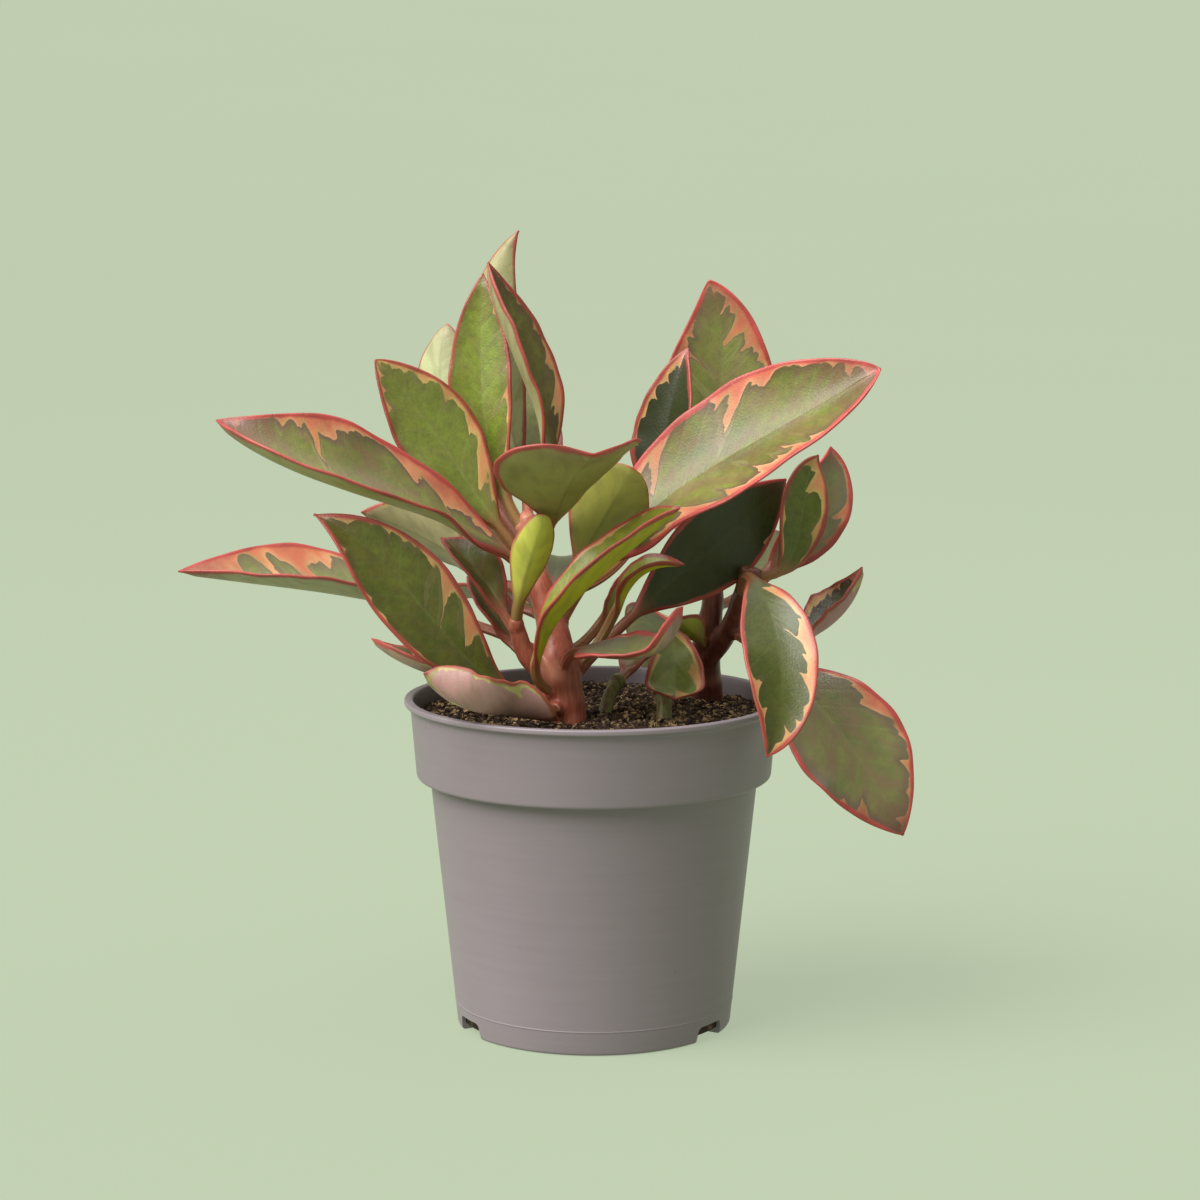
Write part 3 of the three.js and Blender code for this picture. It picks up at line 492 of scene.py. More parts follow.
def upper_face(skin, deep, middle, fresh, border):
    """The olive middle with its mottling, veins and stains, its painted shade and painted light, and the
    border over it
    """
    tree = skin.tree
    clouded = put(tree, RANGE, (skin.cloud, 0.3, 0.7))
    mottle = put(tree, NOISE, {"Vector": skin.object_place, "Scale": 420.0, "Detail": 5.0, "Roughness": 0.72})
    mottled = put(tree, RANGE, (mottle, 0.4, 0.66, 0.0, 0.38))
    # Thinly green patches lie inward of the border, up to 1.4 times as deep as it is wide.
    thin_reach = put(tree, RANGE, (skin.patch, 0.45, 0.6, -0.5, 1.4))
    thin_deep = put(tree, MATH, (thin_reach, skin.border), **TIMES)
    past_thin = put(tree, MATH, (skin.past, thin_deep), operation="SUBTRACT")
    thin = put(tree, RANGE, (past_thin, -0.25, 0.25, 0.5, 0.0))
    # Purple-brown lies over the green beside the border and at the tip, and faintly in clouds.
    beside = put(tree, RANGE, (skin.past, 0.0, STAIN_REACH, 1.0, 0.0), interpolation_type="SMOOTHSTEP")
    stained = put(tree, MATH, (beside, skin.tip), operation="MAXIMUM")
    uneven = put(tree, RANGE, (skin.cloud, 0.35, 0.6, 0.7, 1.0))
    stain_share = put(tree, MATH, (stained, uneven), **TIMES)
    stain = put(tree, MATH, (stain_share, skin.tone["Y"]), **TIMES)
    cloud_share = put(tree, RANGE, (skin.fine, 0.35, 0.65, 0.0, 0.7))
    brown = put(tree, MATH, (cloud_share, skin.tone["Y"]), **TIMES)
    # Painted shade and painted light: a leaf in the shade of others is darkened here to nearly black, and
    # leaves that catch the light, and those lit from behind, are paled to nearly white.
    face = deep
    for share, tint in (
            (clouded, middle), (skin.tone["X"], fresh), (mottled, "#2c3014"), (skin.vein, "#8c9a62"),
            (skin.midrib, "#98a36a"), (thin, "#80794a"), (brown, "#6b4936"), (stain, "#523930"),
            (skin.rim["Y"], "#1a2308"), (skin.rim["Z"], PAINTED_LIGHT_GREEN), (skin.in_border, border)):
        face = put(tree, MIX, {0: share, 6: face, 7: tint}, **BLEND)
    return face


def underside(skin, half_green):
    """The paler underside, from yellow-green over grey to mauve, with the border showing through"""
    tree = skin.tree
    warm = put(tree, RANGE, (skin.tone["Z"], 0.0, 1.0))
    cool = put(tree, RANGE, (skin.tone["Z"], 0.0, -1.0))
    lively = put(tree, MIX, {0: skin.tone["X"], 6: "#686910", 7: "#b6b520"}, **BLEND)
    dusky = put(tree, RANGE, (skin.fine, 0.45, 0.7, 0.0, 0.32))
    clearness = put(tree, MATH, (cool, 0.4, 0.5), operation="MULTIPLY_ADD")
    through = put(tree, MATH, (skin.in_border, clearness), **TIMES)
    border = put(tree, MIX, {0: half_green, 6: "#b0a868", 7: "#6c7434"}, **BLEND)
    midrib = put(tree, MATH, (skin.midrib, 4.0), **TIMES)
    face = "#98916a"
    # Painted light pales the underside towards white too.
    for share, tint in ((warm, lively), (cool, "#a07272"), (skin.rim["Z"], PAINTED_LIGHT_GREEN), (dusky, "#5d5a32"),
                        (through, border), (midrib, "#5f6226")):
        face = put(tree, MIX, {0: share, 6: face, 7: tint}, **BLEND)
    return face


def rim_line(skin):
    """The rim, coral by a pink border and wine-red elsewhere, half to one and a half times its width"""
    tree = skin.tree
    uneven = put(tree, RANGE, (skin.cloud, 0.35, 0.65, 0.5, 1.5))
    width = put(tree, MATH, (skin.rim["X"], uneven), **TIMES)
    past = put(tree, MATH, (skin.place["Z"], width), operation="SUBTRACT")
    share = put(tree, RANGE, (past, -0.55, 0.5, 0.95, 0.0), interpolation_type="SMOOTHSTEP")
    tint = put(tree, MIX, {0: skin.band["Y"], 6: "#8a3a2e", 7: "#ad4340"}, **BLEND)
    brown = put(tree, RANGE, (skin.patch, 0.4, 0.65, 0.0, 0.5))
    return share, put(tree, MIX, {0: brown, 6: tint, 7: "#71322a"}, **BLEND)


def leaf_material(name, deep, middle, fresh):
    """Waxy succulent leaf: olive middle, cream to salmon border, coral rim, and a broad soft gloss"""
    material, tree = new_material(name)
    skin = leaf_skin(tree)
    border, half_green = border_colours(skin)
    face = upper_face(skin, deep, middle, fresh, border)
    # The tip turns purple-brown on both faces, and the stalk is red or tan.
    tip = put(tree, MATH, (skin.tip, skin.tone["Y"]), **TIMES)
    rim, rim_tint = rim_line(skin)
    stalk = put(tree, RANGE, (skin.shape["X"], -3.0, 9.0, 1.0, 0.0), interpolation_type="SMOOTHSTEP")
    stalk_tint = put(tree, MIX, {0: skin.tone["X"], 6: "#94513f", 7: "#8a6a3e"}, **BLEND)
    for share, tint in ((skin.shape["Z"], underside(skin, half_green)), (tip, "#6e403a"), (rim, rim_tint),
                        (stalk, stalk_tint)):
        face = put(tree, MIX, {0: share, 6: face, 7: tint}, **BLEND)
    # The underside is duller, and so is a shaded leaf.
    gloss = put(tree, RANGE, (skin.cloud, 0.3, 0.7, 0.3, 0.42))
    duller = put(tree, MATH, (skin.shape["Z"], 0.14, gloss), operation="MULTIPLY_ADD")
    rough = put(tree, MATH, (skin.rim["Y"], 0.03, duller), operation="MULTIPLY_ADD")
    # Side veins are pressed in a little. The skin's cells are drawn 0.7 mm coarse, so that they show.
    cells = put(tree, NOISE, {"Vector": skin.object_place, "Scale": 1500.0, "Detail": 2.0})
    pressed = put(tree, MATH, (skin.vein, -5.0, cells), operation="MULTIPLY_ADD")
    bump = put(tree, BUMP, {"Height": pressed, "Strength": 0.35, "Distance": 0.0002})
    return finish_material(material, {
        "Base Color": face, "Roughness": rough, "IOR": 1.45, "Subsurface Weight": 0.06,
        "Subsurface Scale": 1.0, "Subsurface Radius": (0.002, 0.002, 0.0008), "Normal": bump})


def backdrop_material():
    """Pale sage studio paper, lit from behind too, so that shadows on it stay faint"""
    material, tree = new_material("matt_studio_paper_sage")
    place = put(tree, COORDINATES, out="Object")
    cloud = put(tree, NOISE, {"Vector": place, "Scale": 2.0, "Detail": 1.0})
    sage = put(tree, MIX, {0: cloud, 6: "#4b5144", 7: "#4d5346"}, **BLEND)
    return finish_material(material, {
        "Base Color": sage, "Roughness": 0.95, "IOR": 1.45, "Specular IOR Level": 0.0,
        "Emission Color": "#a9b59c", "Emission Strength": 1.0})


def add_object(name, data):
    piece = bpy.data.objects.new(name, data)
    bpy.context.scene.collection.objects.link(piece)
    return piece


def mesh_object(name, points, faces, material):
    """A smooth-shaded object from points in millimetres"""
    mesh = bpy.data.meshes.new(name)
    mesh.from_pydata((np.asarray(points) * MM).tolist(), [], faces)
    mesh.shade_smooth()
    mesh.materials.append(material)
    return add_object(name, mesh)


def made_plain(piece, name):
    """Turns a piece with its modifiers into a plain mesh."""
    evaluated = piece.evaluated_get(bpy.context.evaluated_depsgraph_get())
    mesh = bpy.data.meshes.new_from_object(evaluated)
    piece.modifiers.clear()
    piece.data = mesh
    mesh.name = name


def finish_piece(piece, node=None):
    """Hides the node that a piece replaces, and attaches the piece to the root body, which it moves with."""
    if node:
        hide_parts(node)
    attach(piece, "root")


def ring_quads(ring_count, sides, first=0):
    """Quads between neighbouring rings of points"""
    faces = []
    for start in range(first, first + (ring_count - 1) * sides, sides):
        for j in range(sides):
            a, b = start + j, start + (j + 1) % sides
            faces.append((a, b, b + sides, a + sides))
    return faces


def turned_over(quads):
    return [(a, d, c, b) for a, b, c, d in quads]


def skin_faces(ring_count, sides):
    """Quads between closed rings, with a fan to an extra point at each end"""
    faces = ring_quads(ring_count, sides)
    last = (ring_count - 1) * sides
    for j in range(sides):
        after = (j + 1) % sides
        faces.append((ring_count * sides, after, j))
        faces.append((ring_count * sides + 1, last + j, last + after))
    return faces


def outward(points, faces):
    """The faces, turned round where they enclose a negative volume"""
    volume = 0.0
    for face in faces:
        first = points[face[0]]
        for k in range(1, len(face) - 1):
            volume += np.dot(first, np.cross(points[face[k]], points[face[k + 1]]))
    return faces if volume > 0 else [face[::-1] for face in faces]


def merged(solids):
    """Points and faces of several solids as one"""
    points, faces = [], []
    for solid_points, solid_faces in solids:
        faces += [tuple(index + len(points) for index in face) for face in solid_faces]
        points += solid_points.tolist()
    return points, faces


def level_ring(radius, height, sides):
    """Points of a level ring round the upright axis"""
    angle = np.linspace(0, 2 * np.pi, sides, endpoint=False)
    return np.stack([radius * np.cos(angle), radius * np.sin(angle), np.full(sides, height)], axis=-1)


def smooth_step(x):
    t = np.clip(x, 0.0, 1.0)
    return t * t * (3 - 2 * t)


def unit(vectors):
    return vectors / np.linalg.norm(vectors, axis=-1, keepdims=True)


def wobble(x, seed):
    """A smooth, seeded, uneven wave between about -1 and 1"""
    waves = np.sin(x + 5.1 * seed) + 0.6 * np.sin(2.3 * x + 9.7 * seed) + 0.35 * np.sin(4.9 * x + 3.3 * seed)
    return waves / 1.6


def rib_points(rib, shares):
    """The smooth curve through a few points, spaced by the distances between them"""
    knots = np.concatenate([[0.0], np.cumsum(np.linalg.norm(np.diff(rib, axis=0), axis=1))])
    at = shares * knots[-1]
    points = np.zeros((len(shares), 3))
    for i, control in enumerate(rib):
        weight = np.ones(len(shares))
        for j, knot in enumerate(knots):
            if j != i:
                weight = weight * (at - knot) / (knots[i] - knot)
        points += weight[:, None] * control
    return points


def outline_share(leaf, blade):
    """Half the blade's width as a share of its greatest, from its base to its tip"""
    widest = leaf["widest"]
    rising = np.sin((np.pi / 2) * np.clip(blade / widest, 0, 1)) ** leaf["baseTaper"]
    falling = np.cos((np.pi / 2) * np.clip((blade - widest) / (1 - widest), 0, 1))
    return np.where(blade < widest, rising, np.maximum(falling, 0) ** leaf["tipTaper"])


def leaf_frames(leaf):
    """The rib's points, directions and measures at each ring"""
    rib = np.array(leaf["rib"], float)
    spans = np.linalg.norm(np.diff(rib, axis=0), axis=1)
    length = spans.sum()
    start = spans[0] / length
    blade_steps = int(np.clip((length - spans[0]) / RING_STEP, FEWEST_BLADE_RINGS, MOST_BLADE_RINGS))
    petiole_steps = max(int(spans[0] / RING_STEP), FEWEST_STALK_RINGS)
    eased = 1 - (1 - np.linspace(0, 1, blade_steps + 1)) ** TIP_CROWDING
    stalk_shares = np.linspace(0, start, petiole_steps, endpoint=False)
    shares = np.concatenate([stalk_shares, start + (1 - start) * eased])
    tangent = unit(rib_points(rib, shares + 0.01) - rib_points(rib, shares - 0.01))
    # The blade faces its given way at its middle, from where it twists both ways.
    along = (rib_points(rib, np.array([0.62])) - rib_points(rib, np.array([0.5])))[0]
    first_side = unit(np.cross(along, np.array(leaf["face"], float)))
    blade = np.maximum((shares - start) / (1 - start), 0)
    opened = smooth_step(blade / 0.3)
    normal = unit(np.cross(first_side, tangent))
    turn = (np.radians(leaf["twist"]) * (blade - 0.5) * opened)[:, None]
    normal = normal * np.cos(turn) + np.cross(tangent, normal) * np.sin(turn)
    side = np.cross(tangent, normal)
    return rib_points(rib, shares), side, normal, blade, opened, shares * length - spans[0], length - spans[0]


def leaf_layout():
    """Places round a leaf's section: across, up or down, and how far round the rim"""
    row = [-u for u in reversed(ACROSS)] + [0.0] + ACROSS
    upper = [(u, 1.0, 0.0) for u in row]
    right = [(1.0, math.cos(a), math.sin(a)) for a in (math.pi / 4, math.pi / 2, 3 * math.pi / 4)]
    lower = [(u, -1.0, 0.0) for u in reversed(row)]
    left = [(-1.0, math.cos(a), math.sin(a)) for a in (3 * math.pi / 4, math.pi / 2, math.pi / 4)]
    return np.array(upper + right + lower + left)


def leaf_grid(leaf, seed):
    """A leaf and its stalk as rings of points: one section swept along the rib"""
    centre, side, normal, blade, opened, past_base, blade_length = leaf_frames(leaf)
    across, lift, round_rim = leaf_layout().T[:, None, :]
    hand, reach = np.sign(across), np.abs(across)
    outline = np.where(blade > 0, outline_share(leaf, blade), 0)[:, None]
    blade, opened = blade[:, None], opened[:, None]
    tip = np.clip((1 - blade) / THINNING_SHARE, THINNEST, 1)
    rim = MARGIN_HALF_THICKNESS * tip
    stalk_half = PETIOLE_HALF_WIDTH * (1 - blade) ** 4
    full_half = np.maximum(leaf["width"] / 2 * outline + stalk_half, TIP_HALF_WIDTH + rim)
    wander = EDGE_WANDER * (1 + wobble(blade * 7 + 1.9 * hand, seed + 0.4)) * outline
    half = (full_half - rim) * (BLADE_SHARE - wander)
    # The section bends evenly from the fold at the rib, which is rounded, and its margin waves up and down.
    fold = np.radians(leaf["fold"] + hand * leaf["lean"]) * opened
    curl = np.radians(leaf["curl"]) * opened + 1e-6
    slope = fold + curl * reach
    out = half * (np.sin(slope) - np.sin(fold)) / curl
    crease = np.maximum(FOLD_ROUNDING - reach, 0)
    middle_fold = np.radians(leaf["fold"]) * opened
    rounded_fold = half * np.tan(middle_fold) * crease ** 2 / (2 * FOLD_ROUNDING)
    ripple = np.sin(2 * np.pi * leaf["waves"] * blade + leaf["phase"] + hand)
    uneven = MARGIN_WAVE * min(leaf["width"], WAVE_WIDTH) * wobble(blade * 8 + 2.7 * hand, seed)
    rise = half * (np.cos(fold) - np.cos(slope)) / curl + rounded_fold
    rise = rise + (leaf["wave"] * ripple + uneven) * reach ** 2 * outline
    slope = slope - middle_fold * crease / FOLD_ROUNDING
    # It is thickest at the rib, with a groove above and a ridge below.
    middle = PETIOLE_HALF_THICKNESS * (1 - opened) + BLADE_HALF_THICKNESS * opened
    roundness = 0.55 * (1 - opened) + opened
    thick = rim + (middle * tip - rim) * (1 - reach ** 2) ** roundness
    groove = MIDRIB_DEPTH * opened * (1 - blade) * np.exp(-((across * half) / MIDRIB_WIDTH) ** 2)
    thick = thick - np.where(lift > 0, groove, -1.4 * groove)
    side, normal = side[:, None, :], normal[:, None, :]
    cos_slope, sin_slope = np.cos(slope), np.sin(slope)
    up = normal * cos_slope[..., None] - side * (hand * sin_slope)[..., None]
    outwards = side * (hand * cos_slope)[..., None] + normal * sin_slope[..., None]
    points = centre[:, None, :] + side * (hand * out)[..., None] + normal * rise[..., None]
    points = points + up * (thick * lift)[..., None] + outwards * (rim * round_rim)[..., None]
    return SimpleNamespace(points=points, hand=hand, reach=reach, lift=lift, offset=across * half, half=half,
                           blade=blade, past_base=past_base[:, None], blade_length=blade_length)


def leaf_layers(leaf, grid, seed):
    """What the leaf's material reads at each point: its place in millimetres, own tones, painted shade and
    painted light
    """
    inward = np.minimum((1 - grid.reach) * grid.half, (grid.blade_length - grid.past_base) * 0.8)
    forward = grid.past_base - VEIN_SLOPE * np.abs(grid.offset)
    sway = 1 + 0.35 * wobble(grid.past_base / 9 + grid.hand, seed)
    shrink = smooth_step(grid.blade / 0.25) * (0.6 + 0.4 * smooth_step((1 - grid.blade) / 0.15))
    band = np.where(grid.hand < 0, leaf["band"][0], leaf["band"][1]) * sway * shrink
    return {
        "leaf_place": (forward, grid.offset, inward),
        "leaf_shape": (grid.past_base, grid.blade, (1 - grid.lift) / 2),
        "leaf_band": (band, leaf["pink"], 17 * seed + 3.7 * (grid.hand > 0)),
        "leaf_tone": (leaf["fresh"], leaf["bronze"], leaf["under"]),
        # The rim's width, then painted shade, which darkens a leaf towards black, and painted light, which
        # pales it.
        "leaf_rim": (leaf["rim"], max(leaf["shade"], 0.0), max(-leaf["shade"], 0.0)),
    }


def with_ends(grid_values):
    """Rings of values as one list, with the middles of the first and the last ring added for the ends"""
    return np.concatenate([grid_values.reshape(-1, 3), [grid_values[0].mean(0), grid_values[-1].mean(0)]])


def leaf_piece(name, leaf, seed, material):
    grid = leaf_grid(leaf, seed)
    rings, sides = grid.points.shape[:2]
    points = with_ends(grid.points)
    piece = mesh_object(name, points, outward(points, skin_faces(rings, sides)), material)
    for layer, parts in leaf_layers(leaf, grid, seed).items():
        values = with_ends(np.stack([part * np.ones((rings, sides)) for part in parts], axis=-1))
        attribute = piece.data.attributes.new(layer, "FLOAT_VECTOR", "POINT")
        attribute.data.foreach_set("vector", values.astype(np.float32).ravel())
    return piece


def make_leaves():
    grown = leaf_material("waxy_grown_leaf", "#474818", "#74722c", "#738424")
    young = leaf_material("waxy_young_leaf", "#676a1e", "#84822a", "#8a9022")
    for number, (name, entry) in enumerate(LEAVES.items()):
        leaf = {**LEAF_DEFAULTS, **entry}
        is_young = name in YOUNG_LEAVES
        piece = leaf_piece("dressed_" + name, leaf, 0.37 * number + 1, young if is_young else grown)
        finish_piece(piece, name)


def stem_line(points, shares):
    """The smooth curve through a stem's points, spaced by the square root of their distances"""
    control = np.array(points, float)
    control = np.vstack([2 * control[0] - control[1], control, 2 * control[-1] - control[-2]])
    line = []
    for share in shares:
        place = share * (len(points) - 1)
        i = min(int(place), len(points) - 2)
        w = place - i
        p0, p1, p2, p3 = control[i:i + 4]
        d0, d1, d2 = (math.sqrt(np.linalg.norm(step)) for step in (p1 - p0, p2 - p1, p3 - p2))
        t1 = ((p1 - p0) / d0 - (p2 - p0) / (d0 + d1) + (p2 - p1) / d1) * d1
        t2 = ((p2 - p1) / d1 - (p3 - p1) / (d1 + d2) + (p3 - p2) / d2) * d1
        line.append(p1 + t1 * w + (3 * (p2 - p1) - 2 * t1 - t2) * w ** 2 + (2 * (p1 - p2) + t1 + t2) * w ** 3)
    return np.array(line)


def tube(line, radii):
    """Points and faces of a closed tube"""
    tangent = unit(np.gradient(line, axis=0))
    side = unit(np.array([1.0, 0, 0]) - tangent * tangent[:, :1])
    other = np.cross(tangent, side)
    angle = np.linspace(0, 2 * np.pi, STEM_SIDES, endpoint=False)
    ring = side[:, None, :] * np.cos(angle)[:, None] + other[:, None, :] * np.sin(angle)[:, None]
    points = (line[:, None, :] + ring * radii[:, None, None]).reshape(-1, 3)
    points = np.concatenate([points, [line[0], line[-1]]])
    return points, outward(points, skin_faces(len(line), STEM_SIDES))


def nearest_run(runs, root):
    """How far a stalk's root is from the nearest run, and the run's radius there"""
    found = []
    for line, radii in runs:
        away = np.linalg.norm(line - root, axis=1)
        found.append((away.min(), radii[away.argmin()]))
    return min(found, key=lambda near: near[0])


def stem_runs(stem):
    """Lines and radii of a stem's runs, and of the joint swelling with a leaf scar at each stalk"""
    shares = np.linspace(0, 1, STEM_RINGS)
    runs = []
    for controls, radii in stem:
        line = stem_line(controls, shares)
        width = np.interp(shares, np.linspace(0, 1, len(radii)), radii)
        # A run is a little thinner than its solid, with faint rings 7 mm apart.
        runs.append((line, width * (0.97 + 0.02 * np.sin(line[:, 2] * 0.9))))
    for leaf in LEAVES.values():
        rib = np.array(leaf["rib"], float)
        gap, radius = nearest_run(runs, rib[0])
        if gap < STALK_REACH:
            heading = unit(rib_points(rib, np.array([0.05]))[0] - rib[0])
            stub = rib[0] + heading * np.linspace(0, radius + 1.5, len(SWELLING_RADII))[:, None]
            runs.append((stub, np.array(SWELLING_RADII)))
    return runs


def stem_piece(name, stem, material):
    """A stem whose runs and swellings are fused into one skin"""
    points, faces = merged(tube(line, radii) for line, radii in stem_runs(stem))
    piece = mesh_object(name, points, faces, material)
    fuse = piece.modifiers.new("fuse", "REMESH")
    fuse.mode = "VOXEL"
    fuse.voxel_size = STEM_VOXEL * MM
    soften = piece.modifiers.new("soften", "SMOOTH")
    soften.iterations = 8
    made_plain(piece, name)
    piece.data.shade_smooth()
    return piece


def make_stems():
    red = stem_material("fleshy_stem_terracotta", "#8a4433", "#a05a46", "#ba7f66")
    # The right stem's skin is a darker copy of the left one's: painted shade, as it stands in the shade of
    # the leaves.
    brown = stem_material("fleshy_stem_painted_shade", "#552b22", "#6f3c2e", "#8c5a47")
    green = stem_material("fleshy_shoot_green", "#6a4a30", "#707a40", "#8a8a52")
    skins = {"stem_left": red, "stem_right": brown}
    for name, stem in STEMS.items():
        piece = stem_piece("dressed_" + name, stem, skins.get(name, green))
        finish_piece(piece, name)


def rounded(corners):
    """A profile through (radius, height, rounding) corners, with an arc at each rounded one"""
    line = []
    for i, (r, z, rounding) in enumerate(corners):
        corner = np.array([r, z], float)
        if not rounding:
            line.append(corner)
            continue
        before = np.array(corners[i - 1][:2], float) - corner
        after = np.array(corners[i + 1][:2], float) - corner
        reach = min(rounding, 0.45 * np.linalg.norm(before), 0.45 * np.linalg.norm(after))
        start, end = corner + unit(before) * reach, corner + unit(after) * reach
        for w in np.linspace(0, 1, 6):
            line.append((1 - w) ** 2 * start + 2 * w * (1 - w) * corner + w ** 2 * end)
    return line


def pot_profile():
    """The pot's section, from the middle of its underside up the outside and down the inside"""
    collar_bottom = POT_HEIGHT - COLLAR_HEIGHT
    collar_top_radius = RIM_RADIUS - LIP_REACH
    collar_bottom_radius = collar_top_radius - COLLAR_TAPER
    body_top_radius = collar_bottom_radius - STEP_WIDTH
    lean = (body_top_radius - FOOT_RADIUS) / collar_bottom
    parting_low, parting_high = PARTING_HEIGHT - PARTING_HALF_HEIGHT, PARTING_HEIGHT + PARTING_HALF_HEIGHT
    return rounded([
        (0.0, 0.0, 0), (FOOT_RADIUS, 0.0, 1.1),
        (FOOT_RADIUS + lean * parting_low, parting_low, 0.1),
        (FOOT_RADIUS + lean * PARTING_HEIGHT + PARTING_PROUD, PARTING_HEIGHT, 0.2),
        (FOOT_RADIUS + lean * parting_high, parting_high, 0.1),
        (body_top_radius, collar_bottom, 0.8), (collar_bottom_radius, collar_bottom, 1.2),
        (collar_top_radius, POT_HEIGHT - LIP_HEIGHT - 0.9, 1.2), (RIM_RADIUS, POT_HEIGHT - LIP_HEIGHT, 0.4),
        (RIM_RADIUS, POT_HEIGHT, 0.6), (collar_top_radius - WALL + 0.4, POT_HEIGHT, 0.6),
        (collar_top_radius - WALL, POT_HEIGHT - LIP_HEIGHT, 0.8),
        (collar_bottom_radius - WALL, collar_bottom + WALL, 1.0),
        (body_top_radius - WALL, collar_bottom - WALL, 1.0),
        (FOOT_RADIUS - WALL, FLOOR, 1.0), (0.0, FLOOR, 0),
    ])


def lathe(profile, sides):
    """Points and faces of a profile turned round the upright axis, which its first and last point lie on"""
    rings = [level_ring(radius, height, sides) for radius, height in profile[1:-1]]
    points = np.concatenate([np.concatenate(rings), [[0, 0, profile[0][1]], [0, 0, profile[-1][1]]]])
    return points, outward(points, skin_faces(len(rings), sides))


def notch_cutter(turn):
    """One drainage notch's cutter: a round-cornered slot through the foot of the wall"""
    half = NOTCH_WIDTH / 2
    arc = [math.radians(a) for a in (0, 22.5, 45, 67.5, 90)]
    right = [(half - NOTCH_CORNER * (1 - math.cos(a)), NOTCH_HEIGHT - NOTCH_CORNER * (1 - math.sin(a)))
             for a in arc]
    outline = [(-half - 1, -2), (half + 1, -2)] + right + [(-x, z) for x, z in reversed(right)]
    near, far = -(FOOT_RADIUS + NOTCH_DEPTH), -(FOOT_RADIUS - NOTCH_DEPTH)
    spin = np.array([[math.cos(turn), -math.sin(turn), 0], [math.sin(turn), math.cos(turn), 0], [0, 0, 1]])
    points = np.array([(x, y, z) for y in (near, far) for x, z in outline]) @ spin.T
    count = len(outline)
    faces = [tuple(range(count)), tuple(range(2 * count - 1, count - 1, -1))]
    faces += [((i + 1) % count, i, i + count, (i + 1) % count + count) for i in range(count)]
    return points, outward(points, faces)


def make_pot():
    """The pot, with its drainage notches cut through its foot"""
    points, faces = lathe(pot_profile(), POT_SIDES)
    piece = mesh_object("dressed_pot", points, faces, pot_material())
    turns = [math.radians(NOTCH_TURN_DEG + (i + 0.5) * 360 / NOTCH_COUNT) for i in range(NOTCH_COUNT)]
    cut_points, cut_faces = merged(notch_cutter(turn) for turn in turns)
    cutter = mesh_object("notches", cut_points, cut_faces, piece.data.materials[0])
    cut = piece.modifiers.new("notches", "BOOLEAN")
    cut.operation = "DIFFERENCE"
    cut.solver = "EXACT"
    cut.object = cutter
    made_plain(piece, "dressed_pot")
    bpy.data.objects.remove(cutter)
    piece.data.set_sharp_from_angle(angle=math.radians(40))
    finish_piece(piece, "pot")


def soil_height(x, y):
    """The soil's top: a low mound with dips, as in the source, and on it lumps of 2 to 6 mm"""
    from_axis = np.hypot(x, y) / RIM_RADIUS
    uneven = np.sin(x * 0.31 + 1.3) * np.cos(y * 0.27) + np.sin(x * 0.13 - y * 0.19)
    top = POT_HEIGHT - SOIL_DROP + SOIL_MOUND * (1 - from_axis ** 2) + SOIL_RELIEF * uneven
    lumps = np.sin(x * 1.9 + np.sin(y * 1.1) * 2) * np.sin(y * 2.1 + np.sin(x * 0.9) * 2)
    return top + (0.35 * lumps + 0.2 * np.sin(x * 3.7 + y * 2.9) * np.sin(y * 4.1 - x * 1.7) - 0.3)


def soil_ring(radius, sides, lift=0.0):
    """Points of a ring laid on the soil"""
    ring = level_ring(radius, 0.0, sides)
    ring[:, 2] = soil_height(ring[:, 0], ring[:, 1]) + lift
    return ring


def make_soil():
    """The soil's body, with a lumpy top inside the pot"""
    inner_foot = FOOT_RADIUS - WALL - CLEARANCE
    collar_bottom = POT_HEIGHT - COLLAR_HEIGHT
    collar_inner = RIM_RADIUS - LIP_REACH - COLLAR_TAPER - WALL - CLEARANCE
    body_inner = collar_inner - STEP_WIDTH
    edge = collar_inner + COLLAR_TAPER * 0.8 - CLEARANCE
    floor = FLOOR + CLEARANCE
    low = [(inner_foot, floor), (body_inner, collar_bottom - WALL),
           (collar_inner, collar_bottom + WALL + 2 * CLEARANCE)]
    rings = [level_ring(radius, height, SOIL_SPOKES) for radius, height in low]
    rings += [soil_ring(edge * i / SOIL_RINGS, SOIL_SPOKES) for i in range(SOIL_RINGS, 0, -1)]
    points = np.concatenate([np.concatenate(rings), [[0, 0, floor], [0, 0, soil_height(0.0, 0.0)]]])
    peat = soil_material("damp_peat", "#38241a", "#6a5034", 0.26)
    piece = mesh_object("dressed_soil", points, outward(points, skin_faces(len(rings), SOIL_SPOKES)), peat)
    finish_piece(piece, "soil")


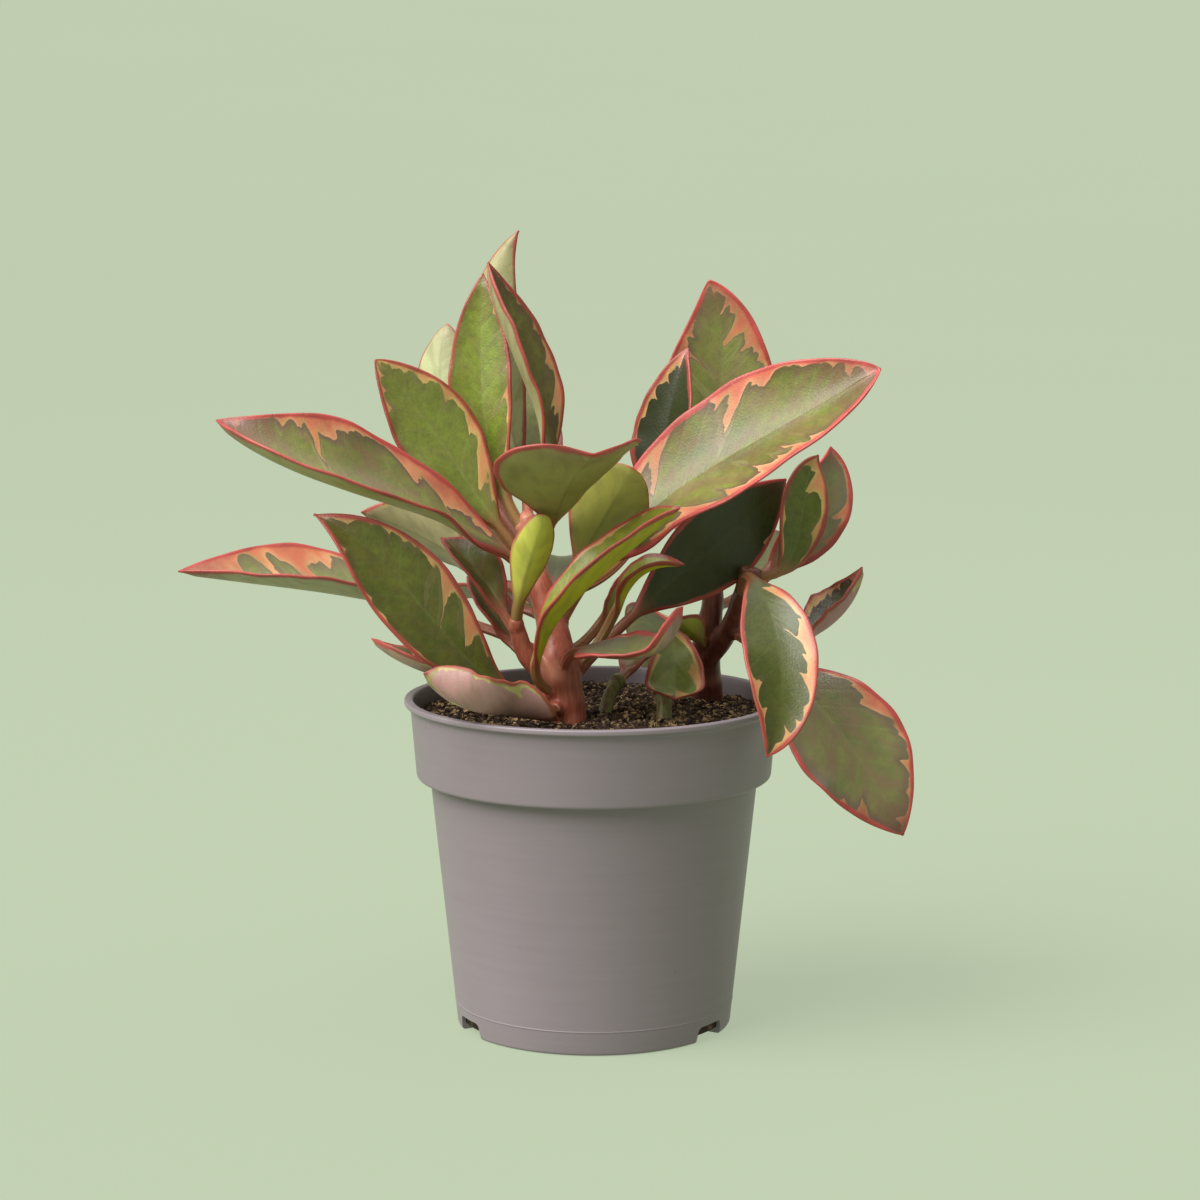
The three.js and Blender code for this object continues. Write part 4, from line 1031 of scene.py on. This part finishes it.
def litter_tree(material):
    """Crumbs, bark chips and fibres scattered over the soil"""
    tree = bpy.data.node_groups.new("soil_litter", "GeometryNodeTree")
    tree.interface.new_socket("Geometry", in_out="INPUT", socket_type="NodeSocketGeometry")
    sizes = {"Crumbs per square metre": 300000.0, "Crumb size": 0.75 * MM, "Chips per square metre": 42000.0,
             "Chip size": 1.1 * MM, "Fibres per square metre": 26000.0, "Fibre length": 7 * MM}
    for name in sizes:
        tree.interface.new_socket(name, in_out="INPUT", socket_type="NodeSocketFloat")
    tree.interface.new_socket("Geometry", in_out="OUTPUT", socket_type="NodeSocketGeometry")
    given = put(tree, "NodeGroupInput").node.outputs
    crumb = put(tree, "GeometryNodeMeshIcoSphere", {"Radius": 1.0, "Subdivisions": 1})
    chip = put(tree, "GeometryNodeMeshCube", {"Size": (2.2, 1.3, 0.5)})
    arc = put(tree, "GeometryNodeCurveQuadraticBezier",
              {"Resolution": 5, "Start": (-0.5, 0, 0), "Middle": (0, 0.25, 0.12), "End": (0.5, 0.05, 0)})
    thread = put(tree, "GeometryNodeCurvePrimitiveCircle", {"Resolution": 3, "Radius": 0.02})
    fibre = put(tree, "GeometryNodeCurveToMesh", {"Curve": arc, "Profile Curve": thread, "Fill Caps": True})
    scattered = []
    for seed, (shape, dense, size, least) in enumerate([
            (crumb, "Crumbs per square metre", "Crumb size", 0.35),
            (chip, "Chips per square metre", "Chip size", 0.4),
            (fibre, "Fibres per square metre", "Fibre length", 0.4)]):
        if shape is not fibre:
            rough = put(tree, RANDOM, {0: (-0.22,) * 3, 1: (0.22,) * 3, "Seed": seed}, **VECTOR)
            shape = put(tree, "GeometryNodeSetPosition", {"Geometry": shape, "Offset": rough})
        spots = put(tree, "GeometryNodeDistributePointsOnFaces",
                    {"Mesh": given["Geometry"], "Density": given[dense], "Seed": seed + 3})
        turn = put(tree, RANDOM, {0: (0.0,) * 3, 1: (0.9, 0.9, 6.3), "Seed": seed + 7}, **VECTOR)
        grow = put(tree, RANDOM, {2: least, 3: 1.4, "Seed": seed + 11}, out=1)
        scale = put(tree, MATH, (grow, given[size]), **TIMES)
        scattered.append(put(tree, "GeometryNodeInstanceOnPoints",
                             {"Points": spots, "Instance": shape, "Rotation": turn, "Scale": scale}))
    together = tree.nodes.new("GeometryNodeJoinGeometry")
    for kind in scattered:
        tree.links.new(kind, together.inputs[0])
    real = put(tree, "GeometryNodeRealizeInstances", {"Geometry": together.outputs[0]})
    dressed = put(tree, "GeometryNodeSetMaterial", {"Geometry": real, "Material": material})
    put(tree, "NodeGroupOutput", {"Geometry": dressed})
    return tree, sizes


def make_litter():
    """Litter scattered over a disc that is laid on the soil"""
    radii = [LITTER_RADIUS * i / LITTER_RINGS for i in range(1, LITTER_RINGS + 1)]
    points = np.concatenate([soil_ring(radius, LITTER_SPOKES, LITTER_LIFT) for radius in radii])
    crumbs = soil_material("bark_and_fibre_crumbs", "#38261b", "#b29468", 0.4)
    faces = turned_over(ring_quads(LITTER_RINGS, LITTER_SPOKES))
    piece = mesh_object("soil_litter", points, faces, crumbs)
    scatter = piece.modifiers.new("litter", "NODES")
    scatter.node_group, sizes = litter_tree(crumbs)
    for socket in scatter.node_group.interface.items_tree:
        if socket.name in sizes:
            scatter[socket.identifier] = sizes[socket.name]
    made_plain(piece, "soil_litter")
    finish_piece(piece)


def make_stage():
    """A wide floor that rises very slowly towards its far edge, so that no horizon shows, in metres"""
    sides = 128
    radii = np.concatenate([[0.6], np.geomspace(1.0, 26.0, 48)])
    heights = 0.0125 * np.maximum(radii - 1, 0) ** 2 - 0.0001
    rings = [level_ring(radius, height, sides) for radius, height in zip(radii, heights)]
    points = np.concatenate([[[0, 0, heights[0]]], np.concatenate(rings)])
    faces = [(0, 1 + j, 1 + (j + 1) % sides) for j in range(sides)]
    faces += turned_over(ring_quads(len(radii), sides, 1))
    mesh_object("studio_floor", points / MM, faces, backdrop_material())


def make_light():
    """Soft daylight from the upper left and front, a softbox above and an even fill"""
    daylight = bpy.data.lights.new("key", "SUN")
    daylight.energy = 6.0
    daylight.angle = math.radians(52)
    daylight.color = (1.0, 0.985, 0.96)
    key = add_object("key", daylight)
    left, front, up = 0.57, 0.35, 0.74
    key.rotation_euler = (math.atan2(math.hypot(left, front), up), 0.0, math.atan2(-left, front))
    softbox = bpy.data.lights.new("softbox_above", "AREA")
    softbox.size = 1.6
    softbox.energy = 11.0
    add_object("softbox_above", softbox).location = (0.15, 0.15, 1.35)
    world = bpy.data.worlds.new("studio_fill")
    world.use_nodes = True
    background = world.node_tree.nodes["Background"]
    background.inputs["Color"].default_value = (1.0, 0.97, 0.98, 1.0)
    background.inputs["Strength"].default_value = 0.31
    bpy.context.scene.world = world


def make_camera():
    lens = bpy.data.cameras.new("photo_view")
    lens.lens = CAMERA_LENS
    lens.sensor_width = CAMERA_SENSOR
    lens.clip_end = 100.0
    camera = add_object("photo_view", lens)
    camera.location = CAMERA_PLACE
    camera.rotation_euler = (math.radians(90 - CAMERA_DOWN_DEG), 0.0, 0.0)
    bpy.context.scene.camera = camera


make_camera()
make_stage()
make_light()
make_pot()
make_soil()
make_litter()
make_stems()
make_leaves()
bpy.context.scene.view_settings.view_transform = "Standard"
